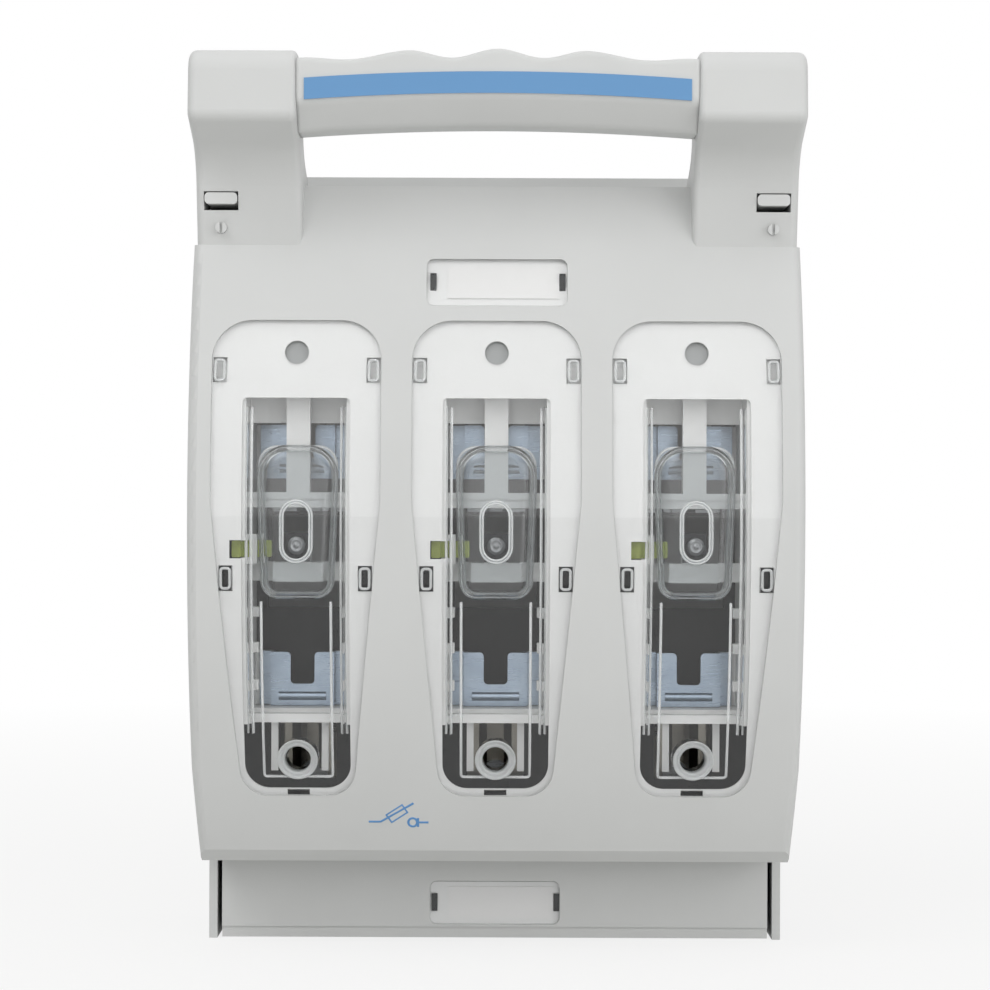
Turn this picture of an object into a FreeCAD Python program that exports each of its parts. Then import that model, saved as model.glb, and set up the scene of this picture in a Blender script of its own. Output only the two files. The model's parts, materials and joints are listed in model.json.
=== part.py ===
import FreeCAD, Part
import math
import os

import Sketcher
from FreeCAD import Placement, Rotation, Vector

# Three-pole fuse switch disconnector, size 1, base mounted. Millimetres.
# X runs across the poles, Z up, and the front of the switch looks along -Y.
# The back of the base lies in the plane Y = 0, with the origin in the middle of its four fixing holes.

SIZES = {
    # Base housing
    "base_margin": 1.45,
    "base_height": 243.0,
    "base_depth": 48.0,
    "side_wall": 2.6,
    "back_wall": 3.0,
    "end_wall": 2.5,
    "partition_wall": 2.4,
    "pole_pitch": 59.7,
    "end_wall_depth": 14.0,
    "chamber_wall_place": 88.0,
    "chamber_wall": 2.0,
    "shroud_reach": 91.5,
    "fixing_inset": 11.0,
    "fixing_height": 152.0,
    "fixing_hole_radius": 3.5,
    "fixing_boss_radius": 6.3,
    "fixing_boss_depth": 6.0,
    # Fits
    "seat_gap": 0.2,
    "free_gap": 0.5,
    "pin_clearance": 0.05,
    # Contacts
    "fuse_middle": -5.0,
    "jaw_offset": 52.0,
    "jaw_length": 22.0,
    "jaw_gap": 5.6,
    "jaw_leaf": 2.4,
    "jaw_tip": 45.0,
    "jaw_flare_start": 39.0,
    "jaw_flare": 2.4,
    "bar_width": 25.0,
    "bar_thickness": 4.0,
    "bar_seat": 10.0,
    "bar_end_margin": 6.5,
    "terminal_margin": 16.5,
    "terminal_hole_radius": 5.3,
    "terminal_bolt_radius": 4.9,
    "bolt_head_across": 16.0,
    "bolt_head_height": 6.4,
    "washer_radius": 10.0,
    "washer_thickness": 2.0,
    "nut_height": 5.0,
    "contact_screw_place": 72.0,
    "contact_screw_radius": 2.4,
    "contact_screw_head": 4.2,
    "contact_screw_head_height": 2.8,
    "pedestal_width": 18.0,
    "pedestal_length": 20.0,
    "spring_thickness": 1.0,
    "spring_width": 12.0,
    "spring_rivet_radius": 2.2,
    # Arc chutes
    "chute_near": 18.0,
    "chute_far": 38.0,
    "chute_width": 30.0,
    "chute_wall": 2.0,
    "chute_depth": 41.0,
    "plate_thickness": 1.0,
    "plate_spacing": 4.0,
    "plate_notch": 9.0,
    "plate_notch_depth": 20.0,
    # Contact shroud and terminal covers
    "shroud_wall": 2.2,
    "cover_wall": 2.2,
    "shroud_slot_width": 18.0,
    "shroud_slot_length": 27.0,
    "shroud_bay_width": 26.0,
    "shroud_bay_height": 34.0,
    "shroud_bay_middle": 1.0,
    "cover_margin": 0.3,
    "cover_side_gap": 1.5,
    "cover_step": 3.8,
    "cover_step_depth": 0.8,
    # Hinge
    "hinge_y": 58.0,
    "hinge_z": 84.0,
    "hinge_pin_radius": 2.5,
    "hinge_lug_radius": 5.5,
    "hinge_lug_wall": 3.5,
    # Lid shell
    "lid_overhang": 1.0,
    "lid_top": 114.6,
    "lid_front": 105.0,
    "lid_wall": 2.8,
    "arch_radius": 210.0,
    "arch_middle": 13.5,
    "lid_edge_radius": 3.0,
    "lid_foot_bevel": 5.0,
    "foot_taper": 1.25,
    "foot_taper_length": 30.0,
    # Handle
    "leg_width": 31.9,
    "leg_inset": 1.0,
    "leg_sink": 19.1,
    "handle_rise": 36.4,
    "handle_reach": 10.5,
    "crown_height": 21.0,
    "crown_depth": 27.5,
    "leg_edge_radius": 2.5,
    "leg_inner_radius": 1.8,
    "leg_crown_radius": 7.0,
    "crown_lean": 1.8,
    "fold_radius": 3.5,
    "throat_setback": 21.5,
    "throat_drop": 9.0,
    "throat_radius": 16.0,
    "shoulder_setback": 4.0,
    "shoulder_radius": 14.0,
    "grip_height": 24.0,
    "grip_setback": 1.5,
    "grip_depth": 21.0,
    "grip_rise": 2.2,
    "grip_drop": 1.6,
    "grip_slope": 8.0,
    "grip_edge_radius": 2.0,
    "scallop_pitch": 25.6,
    "scallop_radius": 22.0,
    "scallop_depth": 2.0,
    "strip_drop": 14.4,
    "strip_height": 6.3,
    "strip_thickness": 0.4,
    "strip_margin": 2.3,
    # Locks in the handle legs
    "lock_inset": 7.6,
    "lock_drop": 6.1,
    "lock_slot_width": 10.4,
    "lock_slot_height": 5.6,
    "lock_slot_depth": 16.0,
    "lock_tongue_width": 9.8,
    "lock_tongue_height": 3.4,
    "lock_proud": 3.0,
    "lock_tongue_rise": 0.7,
    "lock_tongue_radius": 1.2,
    "seal_post_drop": 8.0,
    "seal_post_radius": 1.7,
    "seal_post_length": 4.0,
    "seal_post_root": 1.6,
    # Windows
    "cover_top": 72.2,
    "cover_bottom": 71.5,
    "cover_gap": 4.55,
    "cover_waist": 18.0,
    "cover_taper": 8.5,
    "cover_top_radius": 12.0,
    "cover_foot_radius": 8.5,
    "cover_recess": 1.8,
    "cover_thickness": 1.6,
    "cover_fit": 0.15,
    "window_border": 0.8,
    "window_top": 48.7,
    "window_bottom": 68.9,
    "window_top_radius": 1.5,
    "window_foot_radius": 7.5,
    "tab_width": 3.6,
    "tab_height": 7.0,
    "tab_depth": 4.5,
    "tab_room": 0.3,
    "tab_upper": 57.0,
    "tab_lower": 5.0,
    "probe_hole_radius": 3.55,
    "probe_hole_height": 62.4,
    "probe_tube_height": 60.0,
    "probe_tube_radius": 5.9,
    "probe_tube_bore": 3.8,
    "probe_tube_depth": 12.0,
    "probe_funnel_radius": 5.3,
    "probe_funnel_depth": 6.0,
    "rib_inset": 2.6,
    "rib_thickness": 0.9,
    "rib_depth": 5.0,
    "rib_top": 46.0,
    "rib_bottom": 52.0,
    # Fuse carriers behind the windows
    "rail_lap": 1.0,
    "rail_thickness": 1.4,
    "rail_top": 55.4,
    "rail_bottom": 49.2,
    "bay_depth": 16.0,
    "bar_setback": 13.0,
    "bar_depth": 4.0,
    "spine_width": 7.1,
    "cross_bar_top": 20.6,
    "cross_bar_height": 4.6,
    "cross_bar_groove": 0.6,
    "block_width": 15.4,
    "block_top": -0.5,
    "block_bottom": -6.3,
    "shelf_height": 2.8,
    "shelf_stand": 16.0,
    "foot_bar_height": 2.6,
    "foot_bar_lift": 1.6,
    "foot_bar_stand": 21.2,
    "carrier_leg_bottom": 64.2,
    "carrier_leg_width": 2.1,
    "carrier_leg_place": 7.7,
    # Lug clips of folded sheet
    "sheet": 1.2,
    "clip_corner_radius": 1.3,
    "clip_inset": 5.2,
    "clip_upper_top": 41.4,
    "clip_lower_top": -28.7,
    "clip_height": 16.5,
    "clip_stand": 7.8,
    "clip_notch_width": 7.4,
    "clip_notch_depth": 9.8,
    "clip_depth": 5.8,
    "clip_wing_gap": 1.4,
    "clip_rib_radius": 1.4,
    "clip_rib_width": 14.6,
    "clip_rib_proud": 0.9,
    "clip_rib_lift": 3.0,
    # Clear fuse grips
    "grip_cap_top": 34.8,
    "grip_cap_bottom": -11.4,
    "grip_cap_shoulder": 21.5,
    "grip_cap_inset": 2.8,
    "grip_cap_taper": 1.3,
    "grip_cap_setback": 5.5,
    "grip_cap_seat": 0.3,
    "grip_cap_wall": 1.6,
    "grip_cap_top_radius": 9.0,
    "grip_cap_round": 5.2,
    "grip_cap_foot_radius": 5.6,
    "track_top": 18.6,
    "track_bottom": -0.7,
    "track_half_width": 5.1,
    "track_wall": 1.2,
    "track_proud": 0.9,
    "stud_height": 4.7,
    "stud_radius": 2.6,
    "stud_round": 0.9,
    "stud_shank_radius": 1.5,
    # Fuse release sliders
    "slider_middle": 3.6,
    "slider_height": 5.0,
    "slider_lap": 3.4,
    "slider_reach": 6.8,
    "slider_setback": 0.4,
    "slider_thickness": 2.2,
    "slider_head_width": 2.7,
    "slider_head_rise": 6.0,
    "slider_corner_radius": 0.5,
    "slider_block_height": 8.8,
    "slider_block_start": 14.0,
    "notch_lap": 3.6,
    # Label fields
    "lid_label_height": 84.0,
    "lid_label_width": 42.4,
    "lid_label_tall": 14.6,
    "foot_label_height": -110.0,
    "foot_label_width": 41.4,
    "foot_label_tall": 13.8,
    "label_radius": 2.2,
    "label_recess": 1.8,
    "label_window": 1.3,
    "card_width": 33.4,
    "card_height": 10.0,
    "card_shift": 2.0,
    "card_thickness": 0.3,
    "label_clip_height": 6.0,
    # Probe shutters behind the upper holes
    "shutter_radius": 6.0,
    "shutter_thickness": 1.5,
}

document = FreeCAD.newDocument("fuse_switch_disconnector")
sheet = document.addObject("Spreadsheet::Sheet", "Sizes")
for row, (alias, number) in enumerate(SIZES.items(), start=1):
    sheet.set(f"A{row}", alias)
    sheet.set(f"B{row}", str(number))
    sheet.setAlias(f"B{row}", alias)
document.recompute()


class Size:
    """A length with its value now and the sheet expression that it comes from."""

    def __init__(self, value, text):
        self.value = value
        self.text = text

    @staticmethod
    def of(other):
        return other if isinstance(other, Size) else Size(float(other), repr(float(other)))

    def joined(self, sign, other, value):
        return Size(value, f"({self.text} {sign} {other.text})")

    def __add__(self, other):
        other = Size.of(other)
        return self.joined("+", other, self.value + other.value)

    def __sub__(self, other):
        other = Size.of(other)
        return self.joined("-", other, self.value - other.value)

    def __mul__(self, other):
        other = Size.of(other)
        return self.joined("*", other, self.value * other.value)

    def __truediv__(self, other):
        other = Size.of(other)
        return self.joined("/", other, self.value / other.value)

    def __radd__(self, other):
        return Size.of(other) + self

    def __rsub__(self, other):
        return Size.of(other) - self

    def __rmul__(self, other):
        return Size.of(other) * self

    def __neg__(self):
        return Size(-self.value, f"(0 - {self.text})")


class Sheet:
    """The driving sizes, read by name from the spreadsheet."""

    def __getattr__(self, alias):
        return Size(float(sheet.get(alias)), f"Sizes.{alias}")


S = Sheet()
PARTS = []


def bind(thing, path, length):
    thing.setExpression(path, Size.of(length).text)


def keep(thing, label, x=None):
    """Gives a finished piece its own name and, where it was made at the middle, its place across the poles."""
    thing.Label = label
    if x is not None:
        bind(thing, "Placement.Base.x", x)
    PARTS.append(thing)
    return thing


def box(x, y, z):
    """A block between the low and high ends given for each axis."""
    block = document.addObject("Part::Box", "Block")
    for path, place, ends in (("Length", "x", x), ("Width", "y", y), ("Height", "z", z)):
        low, high = Size.of(ends[0]), Size.of(ends[1])
        bind(block, path, high - low)
        bind(block, f"Placement.Base.{place}", low)
    return block


def rod(axis, radius, start, end, across):
    """A round bar along an axis, from start to end, centred at the two places across it."""
    turn = {"X": Rotation(Vector(0, 1, 0), 90), "Y": Rotation(Vector(1, 0, 0), -90), "Z": Rotation()}
    bar = document.addObject("Part::Cylinder", "Rod")
    bar.Placement = Placement(Vector(), turn[axis])
    start, end = Size.of(start), Size.of(end)
    bind(bar, "Radius", radius)
    bind(bar, "Height", end - start)
    others = [name for name in "XYZ" if name != axis]
    bind(bar, f"Placement.Base.{axis.lower()}", start)
    for name, place in zip(others, across):
        bind(bar, f"Placement.Base.{name.lower()}", place)
    return bar


def funnel(mouth, throat, start, end, across):
    """A cone along Y, wide at its start."""
    cone = document.addObject("Part::Cone", "Funnel")
    cone.Placement = Placement(Vector(), Rotation(Vector(1, 0, 0), -90))
    start, end = Size.of(start), Size.of(end)
    bind(cone, "Radius1", mouth)
    bind(cone, "Radius2", throat)
    bind(cone, "Height", end - start)
    bind(cone, "Placement.Base.x", across[0])
    bind(cone, "Placement.Base.y", start)
    bind(cone, "Placement.Base.z", across[1])
    return cone


def fuse(*things):
    joined = document.addObject("Part::MultiFuse", "Joined")
    joined.Shapes = list(things)
    return joined


def common(*things):
    shared = document.addObject("Part::MultiCommon", "Shared")
    shared.Shapes = list(things)
    return shared


def cut(base, *tools):
    rest = document.addObject("Part::Cut", "Rest")
    rest.Base = base
    rest.Tool = tools[0] if len(tools) == 1 else fuse(*tools)
    return rest


def mirrored(thing, normal):
    twin = document.addObject("Part::Mirroring", "Twin")
    twin.Source = thing
    twin.Normal = normal
    return twin


def softened(kind, base, reach, wanted):
    """Rounds or bevels each edge of a piece that the test picks."""
    document.recompute()
    edges = [number for number, edge in enumerate(base.Shape.Edges, start=1) if wanted(edge)]
    if not edges:
        raise ValueError("no edge to soften on " + base.Label)
    soft = document.addObject(kind, "Soft")
    soft.Base = base
    soft.Edges = [(number, reach.value, reach.value) for number in edges]
    return soft


def rounded(base, radius, wanted):
    return softened("Part::Fillet", base, radius, wanted)


def bevelled(base, reach, wanted):
    return softened("Part::Chamfer", base, reach, wanted)


def along(axis, edge):
    """True for a straight edge along an axis."""
    if edge.Curve.TypeId != "Part::GeomLine":
        return False
    return abs(getattr(edge.Curve.Direction, axis)) > 0.999


def near(value, wanted):
    return abs(value - wanted) < 0.02


def closed_outline(sketch, points):
    """Draws a closed outline, each corner held by the two lengths given for it."""
    count = len(points)
    places = [Vector(Size.of(a).value, Size.of(b).value, 0) for a, b in points]
    for number in range(count):
        sketch.addGeometry(Part.LineSegment(places[number], places[(number + 1) % count]), False)
    for number in range(count):
        sketch.addConstraint(Sketcher.Constraint("Coincident", number, 2, (number + 1) % count, 1))
    for number, corner in enumerate(points):
        for letter, kind, length in zip("ab", ("DistanceX", "DistanceY"), corner):
            length = Size.of(length)
            held = sketch.addConstraint(Sketcher.Constraint(kind, -1, 1, number, 1, length.value))
            sketch.renameConstraint(held, f"{letter}{number}")
            sketch.setExpression(f"Constraints.{letter}{number}", length.text)


TURNS = {
    "Y": Rotation(Vector(1, 0, 0), 90),
    "X": Rotation(Vector(0.57735, 0.57735, 0.57735), 120),
    "Z": Rotation(),
}


def prism(axis, points, start, length):
    """An outline pushed along an axis. Along Y it is drawn in X and Z and pushed to the front, along X in Y and Z."""
    drawing = document.addObject("Sketcher::SketchObject", "Outline")
    drawing.Placement = Placement(Vector(), TURNS[axis])
    bind(drawing, f"Placement.Base.{axis.lower()}", start)
    closed_outline(drawing, points)
    solid = document.addObject("Part::Extrusion", "Prism")
    solid.Base = drawing
    solid.DirMode = "Normal"
    solid.Solid = True
    bind(solid, "LengthFwd", length)
    return solid


# Planes and places that several pieces share
HALF_BASE = S.pole_pitch * 1.5 + S.base_margin
HALF_HEIGHT = S.base_height / 2
BASE_FRONT = -S.base_depth
INNER_SIDE = HALF_BASE - S.side_wall
COVER_BACK = BASE_FRONT + S.cover_wall
SHROUD_BACK = COVER_BACK + S.seat_gap + S.shroud_wall
LID_BACK = BASE_FRONT - S.free_gap
HINGE_ROUND = S.hinge_y - S.base_depth - S.free_gap
LID_BOTTOM = -(S.hinge_z + HINGE_ROUND)
HALF_LID = HALF_BASE + S.lid_overhang
LUG_SIDE = HALF_LID - S.foot_taper - S.lid_wall - S.seat_gap
FIXING_PLACE = HALF_BASE - S.fixing_inset
LEG_OUTER = HALF_LID - S.leg_inset
LEG_INNER = LEG_OUTER - S.leg_width
LEG_FOOT = S.lid_top - S.leg_sink
HANDLE_TOP = S.lid_top + S.handle_rise
HANDLE_FRONT = S.lid_front + S.handle_reach
HANDLE_BACK = HANDLE_FRONT - S.crown_depth
HANDLE_FOLD = HANDLE_TOP - S.crown_height
THROAT_FRONT = HANDLE_FRONT - S.throat_setback
THROAT_HEIGHT = HANDLE_FOLD - S.throat_drop
GRIP_BOTTOM = HANDLE_TOP - S.grip_height
GRIP_FRONT = HANDLE_FRONT - S.grip_setback
GRIP_BACK = GRIP_FRONT - S.grip_depth
STRIP_BOTTOM = HANDLE_TOP - S.strip_drop
LOCK_PLACE = LEG_OUTER - S.lock_inset
LOCK_HEIGHT = S.lid_top - S.lock_drop
COVER_HALF = S.pole_pitch / 2 - S.cover_gap
COVER_FOOT = COVER_HALF - S.cover_taper
WINDOW_HALF = COVER_FOOT - S.window_border
NOTCH_LEFT = WINDOW_HALF + S.notch_lap
RIB_PLACE = WINDOW_HALF - S.rib_inset
RAIL_INNER = WINDOW_HALF - S.rail_lap
WING_REACH = RAIL_INNER - S.clip_wing_gap
CLIP_HALF = RAIL_INNER - S.clip_inset
CAP_HALF = RAIL_INNER - S.grip_cap_inset
CAP_FOOT = CAP_HALF - S.grip_cap_taper
SLIDER_LEFT = WINDOW_HALF + S.slider_lap
SLIDER_RIGHT = RAIL_INNER - S.slider_reach
BAR_FRONT = S.lid_front - S.bar_setback
BAR_BACK = BAR_FRONT - S.bar_depth
SLIDER_FRONT = BAR_FRONT - S.slider_setback
CAP_FRONT = S.lid_front - S.grip_cap_setback
CAP_BACK = BAR_FRONT + S.grip_cap_seat
CARRIER_BACK = S.base_depth + S.bay_depth
CLIP_FRONT = CARRIER_BACK + S.clip_stand
SHELF_FRONT = CARRIER_BACK + S.shelf_stand
FOOT_BAR_FRONT = CARRIER_BACK + S.foot_bar_stand
POLES = (("1", -S.pole_pitch), ("2", Size.of(0)), ("3", S.pole_pitch))
SIDES = (("left", -1), ("right", 1))


def both(low, high):
    """The two ranges, left and right of the middle, that a mirrored pair fills."""
    return ((-Size.of(high), -Size.of(low)), (Size.of(low), Size.of(high)))


def chamber(pole_x):
    """The space between the walls beside a pole."""
    low, high = pole_x - S.pole_pitch / 2, pole_x + S.pole_pitch / 2
    low = -INNER_SIDE if pole_x.value < -1 else low + S.partition_wall / 2
    high = INNER_SIDE if pole_x.value > 1 else high - S.partition_wall / 2
    return low, high


def contact_rows():
    """For the upper and lower contact: its name, the side it points to, its jaw, terminal and end."""
    for name, way in (("upper", 1), ("lower", -1)):
        yield (
            name,
            way,
            S.fuse_middle + way * S.jaw_offset,
            way * (HALF_HEIGHT - S.terminal_margin),
            way * (HALF_HEIGHT - S.bar_end_margin),
        )


def span(a, b):
    """Two places, the lower one first."""
    a, b = Size.of(a), Size.of(b)
    return (a, b) if a.value < b.value else (b, a)


def base_housing():
    """The moulded base: three chambers, cable ends, pedestals, fixing bosses and hinge lugs."""
    block = box((-HALF_BASE, HALF_BASE), (BASE_FRONT, 0), (-HALF_HEIGHT, HALF_HEIGHT))
    past = 1
    hollows = []
    for _, pole_x in POLES:
        depth = (BASE_FRONT - past, -S.back_wall)
        ends = (S.end_wall - HALF_HEIGHT, HALF_HEIGHT - S.end_wall)
        hollows.append(box(chamber(pole_x), depth, ends))
    between = (-INNER_SIDE, INNER_SIDE)
    front = BASE_FRONT - past
    hollows.append(box(between, (front, COVER_BACK + S.seat_gap), (-HALF_HEIGHT - past, HALF_HEIGHT + past)))
    shroud_bay = (-S.shroud_reach - S.seat_gap, S.shroud_reach + S.seat_gap)
    hollows.append(box(between, (front, SHROUD_BACK), shroud_bay))
    for way in (-1, 1):
        end = span(way * (HALF_HEIGHT - S.end_wall - past), way * (HALF_HEIGHT + past))
        hollows.append(box(between, (front, -S.end_wall_depth), end))
    shell = cut(block, *hollows)
    added = []
    for _, pole_x in POLES:
        across = (pole_x - S.pedestal_width / 2, pole_x + S.pedestal_width / 2)
        stand = (-S.bar_seat, -S.back_wall)
        for _, way, jaw, terminal, end in contact_rows():
            half = S.pedestal_length / 2
            screw = way * S.contact_screw_place
            added.append(box(across, stand, (jaw - half, jaw + half)))
            added.append(box(across, stand, (screw - half, screw + half)))
            foot = span(terminal - way * half, end)
            wide = (pole_x - S.bar_width / 2, pole_x + S.bar_width / 2)
            added.append(box(wide, stand, foot))
            wall = span(way * (S.chamber_wall_place - S.chamber_wall), way * S.chamber_wall_place)
            low, high = chamber(pole_x)
            for side in ((low, pole_x - S.bar_width / 2 - S.seat_gap), (pole_x + S.bar_width / 2 + S.seat_gap, high)):
                added.append(box(side, (SHROUD_BACK, -S.back_wall), wall))
    for x_way in (-1, 1):
        for z_way in (-1, 1):
            place = (x_way * FIXING_PLACE, z_way * S.fixing_height / 2)
            added.append(rod("Y", S.fixing_boss_radius, -S.fixing_boss_depth, -S.back_wall, place))
        lug = span(x_way * (LUG_SIDE - S.hinge_lug_wall), x_way * LUG_SIDE)
        added.append(rod("X", S.hinge_lug_radius, lug[0], lug[1], (-S.hinge_y, -S.hinge_z)))
        height = (-S.hinge_z - S.hinge_lug_radius, S.hinge_lug_radius - S.hinge_z)
        added.append(box(lug, (-S.hinge_y, SHROUD_BACK), height))
        root = span(x_way * (LUG_SIDE - S.hinge_lug_wall), x_way * (HALF_BASE - S.side_wall / 2))
        added.append(box(root, (BASE_FRONT, SHROUD_BACK + S.hinge_lug_wall), height))
    solid = fuse(shell, *added)
    holes = []
    for x_way in (-1, 1):
        for z_way in (-1, 1):
            place = (x_way * FIXING_PLACE, z_way * S.fixing_height / 2)
            holes.append(rod("Y", S.fixing_hole_radius, -S.fixing_boss_depth - past, past, place))
    holes.append(rod("X", S.hinge_pin_radius + S.pin_clearance, -HALF_BASE, HALF_BASE, (-S.hinge_y, -S.hinge_z)))
    for _, pole_x in POLES:
        for _, way, _, terminal, _ in contact_rows():
            place = (pole_x, terminal)
            deep = -S.bar_seat + S.nut_height + S.seat_gap
            holes.append(hexagon(S.bolt_head_across + 2 * S.seat_gap, deep, place, -S.bar_seat - past))
            screw = (pole_x, way * S.contact_screw_place)
            holes.append(rod("Y", S.contact_screw_radius + S.pin_clearance, -S.bar_seat - past, -S.back_wall, screw))
    return keep(cut(solid, *holes), "base_housing")


def hexagon(across, back, place, front):
    """A six-sided bar along Y, given by its width across the flats."""
    corner = across / 2 / math.cos(math.pi / 6)
    points = []
    for number in range(6):
        angle = math.pi / 3 * number
        points.append((place[0] + corner * math.cos(angle), place[1] + corner * math.sin(angle)))
    return prism("Y", points, back, Size.of(back) - Size.of(front))


def contact(name, pole, pole_x, way, jaw, terminal, end):
    """A contact: a terminal bar with a forked jaw of two flared leaves."""
    half = S.jaw_length / 2
    inner = S.jaw_gap / 2
    outer = inner + S.jaw_leaf
    foot = -S.bar_seat - S.bar_thickness
    fork = []
    for side in (-1, 1):
        leaf = [
            (side * inner, foot),
            (side * outer, foot),
            (side * outer, -S.jaw_flare_start),
            (side * (outer + S.jaw_flare), -S.jaw_tip),
            (side * (inner + S.jaw_flare), -S.jaw_tip),
            (side * inner, -S.jaw_flare_start),
        ]
        fork.append(prism("Z", leaf, jaw - half, S.jaw_length))
    across = (-S.bar_width / 2, S.bar_width / 2)
    bar = box(across, (foot, -S.bar_seat), span(jaw - way * half, end))
    blank = fuse(bar, *fork)
    bolt_hole = rod("Y", S.terminal_hole_radius, foot - 1, 1 - S.bar_seat, (0, terminal))
    screw = (0, way * S.contact_screw_place)
    screw_hole = rod("Y", S.contact_screw_radius + S.pin_clearance, foot - 1, 1 - S.bar_seat, screw)
    return keep(cut(blank, bolt_hole, screw_hole), f"{name}_contact_{pole}", pole_x)


def contact_springs(name, jaw):
    """Leaf springs riveted to the outside of the jaws, a pair for each pole."""
    springs = []
    leaf = S.jaw_gap / 2 + S.jaw_leaf
    for _, pole_x in POLES:
        for side in (-1, 1):
            at = span(pole_x + side * leaf, pole_x + side * (leaf + S.spring_thickness))
            half = S.spring_width / 2
            blade = box(at, (-S.jaw_flare_start, -S.bar_seat - S.bar_thickness - 1), (jaw - half, jaw + half))
            head = span(pole_x + side * leaf, pole_x + side * (leaf + 2 * S.spring_thickness))
            rivet_y = -S.bar_seat - S.bar_thickness - 5
            springs.append(fuse(blade, rod("X", S.spring_rivet_radius, head[0], head[1], (rivet_y, jaw))))
    return keep(group(springs), f"{name}_contact_springs")


def group(things):
    """Separate like solids kept together in one piece."""
    gathered = document.addObject("Part::Compound", "Group")
    gathered.Links = list(things)
    return gathered


def terminal_hardware():
    """Bolts, washers and nuts of the six terminals, and the screws that hold the contacts down."""
    bar_front = -S.bar_seat - S.bar_thickness
    head_seat = bar_front - S.washer_thickness
    bolts, washers, nuts, screws = [], [], [], []
    for _, pole_x in POLES:
        for _, way, _, terminal, _ in contact_rows():
            place = (pole_x, terminal)
            shank = rod("Y", S.terminal_bolt_radius, head_seat, -S.bar_seat + S.nut_height, place)
            bolts.append(fuse(hexagon(S.bolt_head_across, head_seat, place, head_seat - S.bolt_head_height), shank))
            ring = rod("Y", S.washer_radius, head_seat, bar_front, place)
            washers.append(cut(ring, rod("Y", S.terminal_hole_radius, head_seat - 1, bar_front + 1, place)))
            nut = hexagon(S.bolt_head_across, -S.bar_seat + S.nut_height, place, -S.bar_seat)
            deep = (-S.bar_seat - 1, S.nut_height + 1 - S.bar_seat)
            nuts.append(cut(nut, rod("Y", S.terminal_bolt_radius + S.pin_clearance, *deep, place)))
            place = (pole_x, way * S.contact_screw_place)
            neck = rod("Y", S.contact_screw_radius, bar_front, -S.back_wall - 1, place)
            head = rod("Y", S.contact_screw_head, bar_front - S.contact_screw_head_height, bar_front, place)
            socket_front = bar_front - S.contact_screw_head_height
            socket = hexagon(S.contact_screw_head, socket_front + 2, place, socket_front - 1)
            screws.append(cut(fuse(neck, head), socket))
    keep(group(bolts), "terminal_bolts")
    keep(group(washers), "terminal_washers")
    keep(group(nuts), "terminal_nuts")
    keep(group(screws), "contact_screws")


def arc_chutes(pole, pole_x):
    """Two dark channels beside the jaws, each with a stack of notched steel plates."""
    channels, plates = [], []
    half = S.chute_width / 2
    inner = half - S.chute_wall
    back = -S.back_wall
    floor = back - S.chute_wall
    front = -S.chute_depth
    for _, way, _, _, _ in contact_rows():
        ends = span(S.fuse_middle + way * S.chute_near, S.fuse_middle + way * S.chute_far)
        body = box((-half, half), (front, back), ends)
        channels.append(cut(body, box((-inner, inner), (front - 1, floor), (ends[0] - 1, ends[1] + 1))))
        reach = S.chute_far - S.chute_near
        count = int(reach.value / S.plate_spacing.value + 0.001)
        edge = inner - S.pin_clearance
        notch = S.plate_notch / 2
        mouth = front + S.chute_wall
        outline = [
            (-edge, floor),
            (-edge, mouth),
            (-notch, mouth),
            (-notch / 2, mouth + S.plate_notch_depth),
            (notch / 2, mouth + S.plate_notch_depth),
            (notch, mouth),
            (edge, mouth),
            (edge, floor),
        ]
        for number in range(count):
            height = ends[0] + S.plate_spacing * (number + 0.5) - S.plate_thickness / 2
            plates.append(prism("Z", outline, height, S.plate_thickness))
    keep(group(channels), f"arc_chute_holders_{pole}", pole_x)
    keep(group(plates), f"arc_plates_{pole}", pole_x)


def contact_shroud():
    """The moulded screen over the live parts, slotted for the fuse blades."""
    reach = INNER_SIDE - S.cover_margin
    front = COVER_BACK + S.seat_gap
    plate = box((-reach, reach), (front, SHROUD_BACK - S.seat_gap), (-S.shroud_reach, S.shroud_reach))
    openings = []
    deep = (front - 1, SHROUD_BACK + 1)
    for _, pole_x in POLES:
        half = S.shroud_slot_width / 2
        for _, _, jaw, _, _ in contact_rows():
            tall = S.shroud_slot_length / 2
            openings.append(box((pole_x - half, pole_x + half), deep, (jaw - tall, jaw + tall)))
        bay = S.shroud_bay_width / 2
        tall = S.shroud_bay_height / 2
        middle = S.shroud_bay_middle
        openings.append(box((pole_x - bay, pole_x + bay), deep, (middle - tall, middle + tall)))
    lug_inner = LUG_SIDE - S.hinge_lug_wall - S.free_gap
    clear = S.hinge_lug_radius + S.free_gap
    for side in both(lug_inner, HALF_BASE):
        openings.append(box(side, deep, (-S.hinge_z - clear, clear - S.hinge_z)))
    return keep(cut(plate, *openings), "contact_shroud")


def terminal_cover(name, way):
    """A terminal cover: a front plate and an end wall that closes the cable end."""
    reach = INNER_SIDE - S.cover_side_gap
    tip = way * (HALF_HEIGHT - S.cover_margin)
    near_edge = way * (S.shroud_reach + 2 * S.seat_gap)
    plate = box((-reach, reach), (BASE_FRONT, COVER_BACK), span(near_edge, tip))
    end = span(way * (HALF_HEIGHT - S.end_wall), tip)
    wall = box((-reach, reach), (BASE_FRONT, -S.end_wall_depth - S.seat_gap), end)
    step = span(way * (HALF_HEIGHT - S.cover_step), way * (HALF_HEIGHT + 1))
    rebate = box((-HALF_BASE, HALF_BASE), (BASE_FRONT - 1, BASE_FRONT + S.cover_step_depth), step)
    return cut(fuse(plate, wall), rebate)


def rounded_field(width, tall, middle_x, middle_z, radius, back, deep):
    """A block with rounded corners that stands for a label field."""
    x, z = (middle_x - width / 2, middle_x + width / 2), (middle_z - tall / 2, middle_z + tall / 2)
    block = box(x, (Size.of(back) - deep, back), z)
    return rounded(block, radius, lambda edge: along("y", edge))


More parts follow.
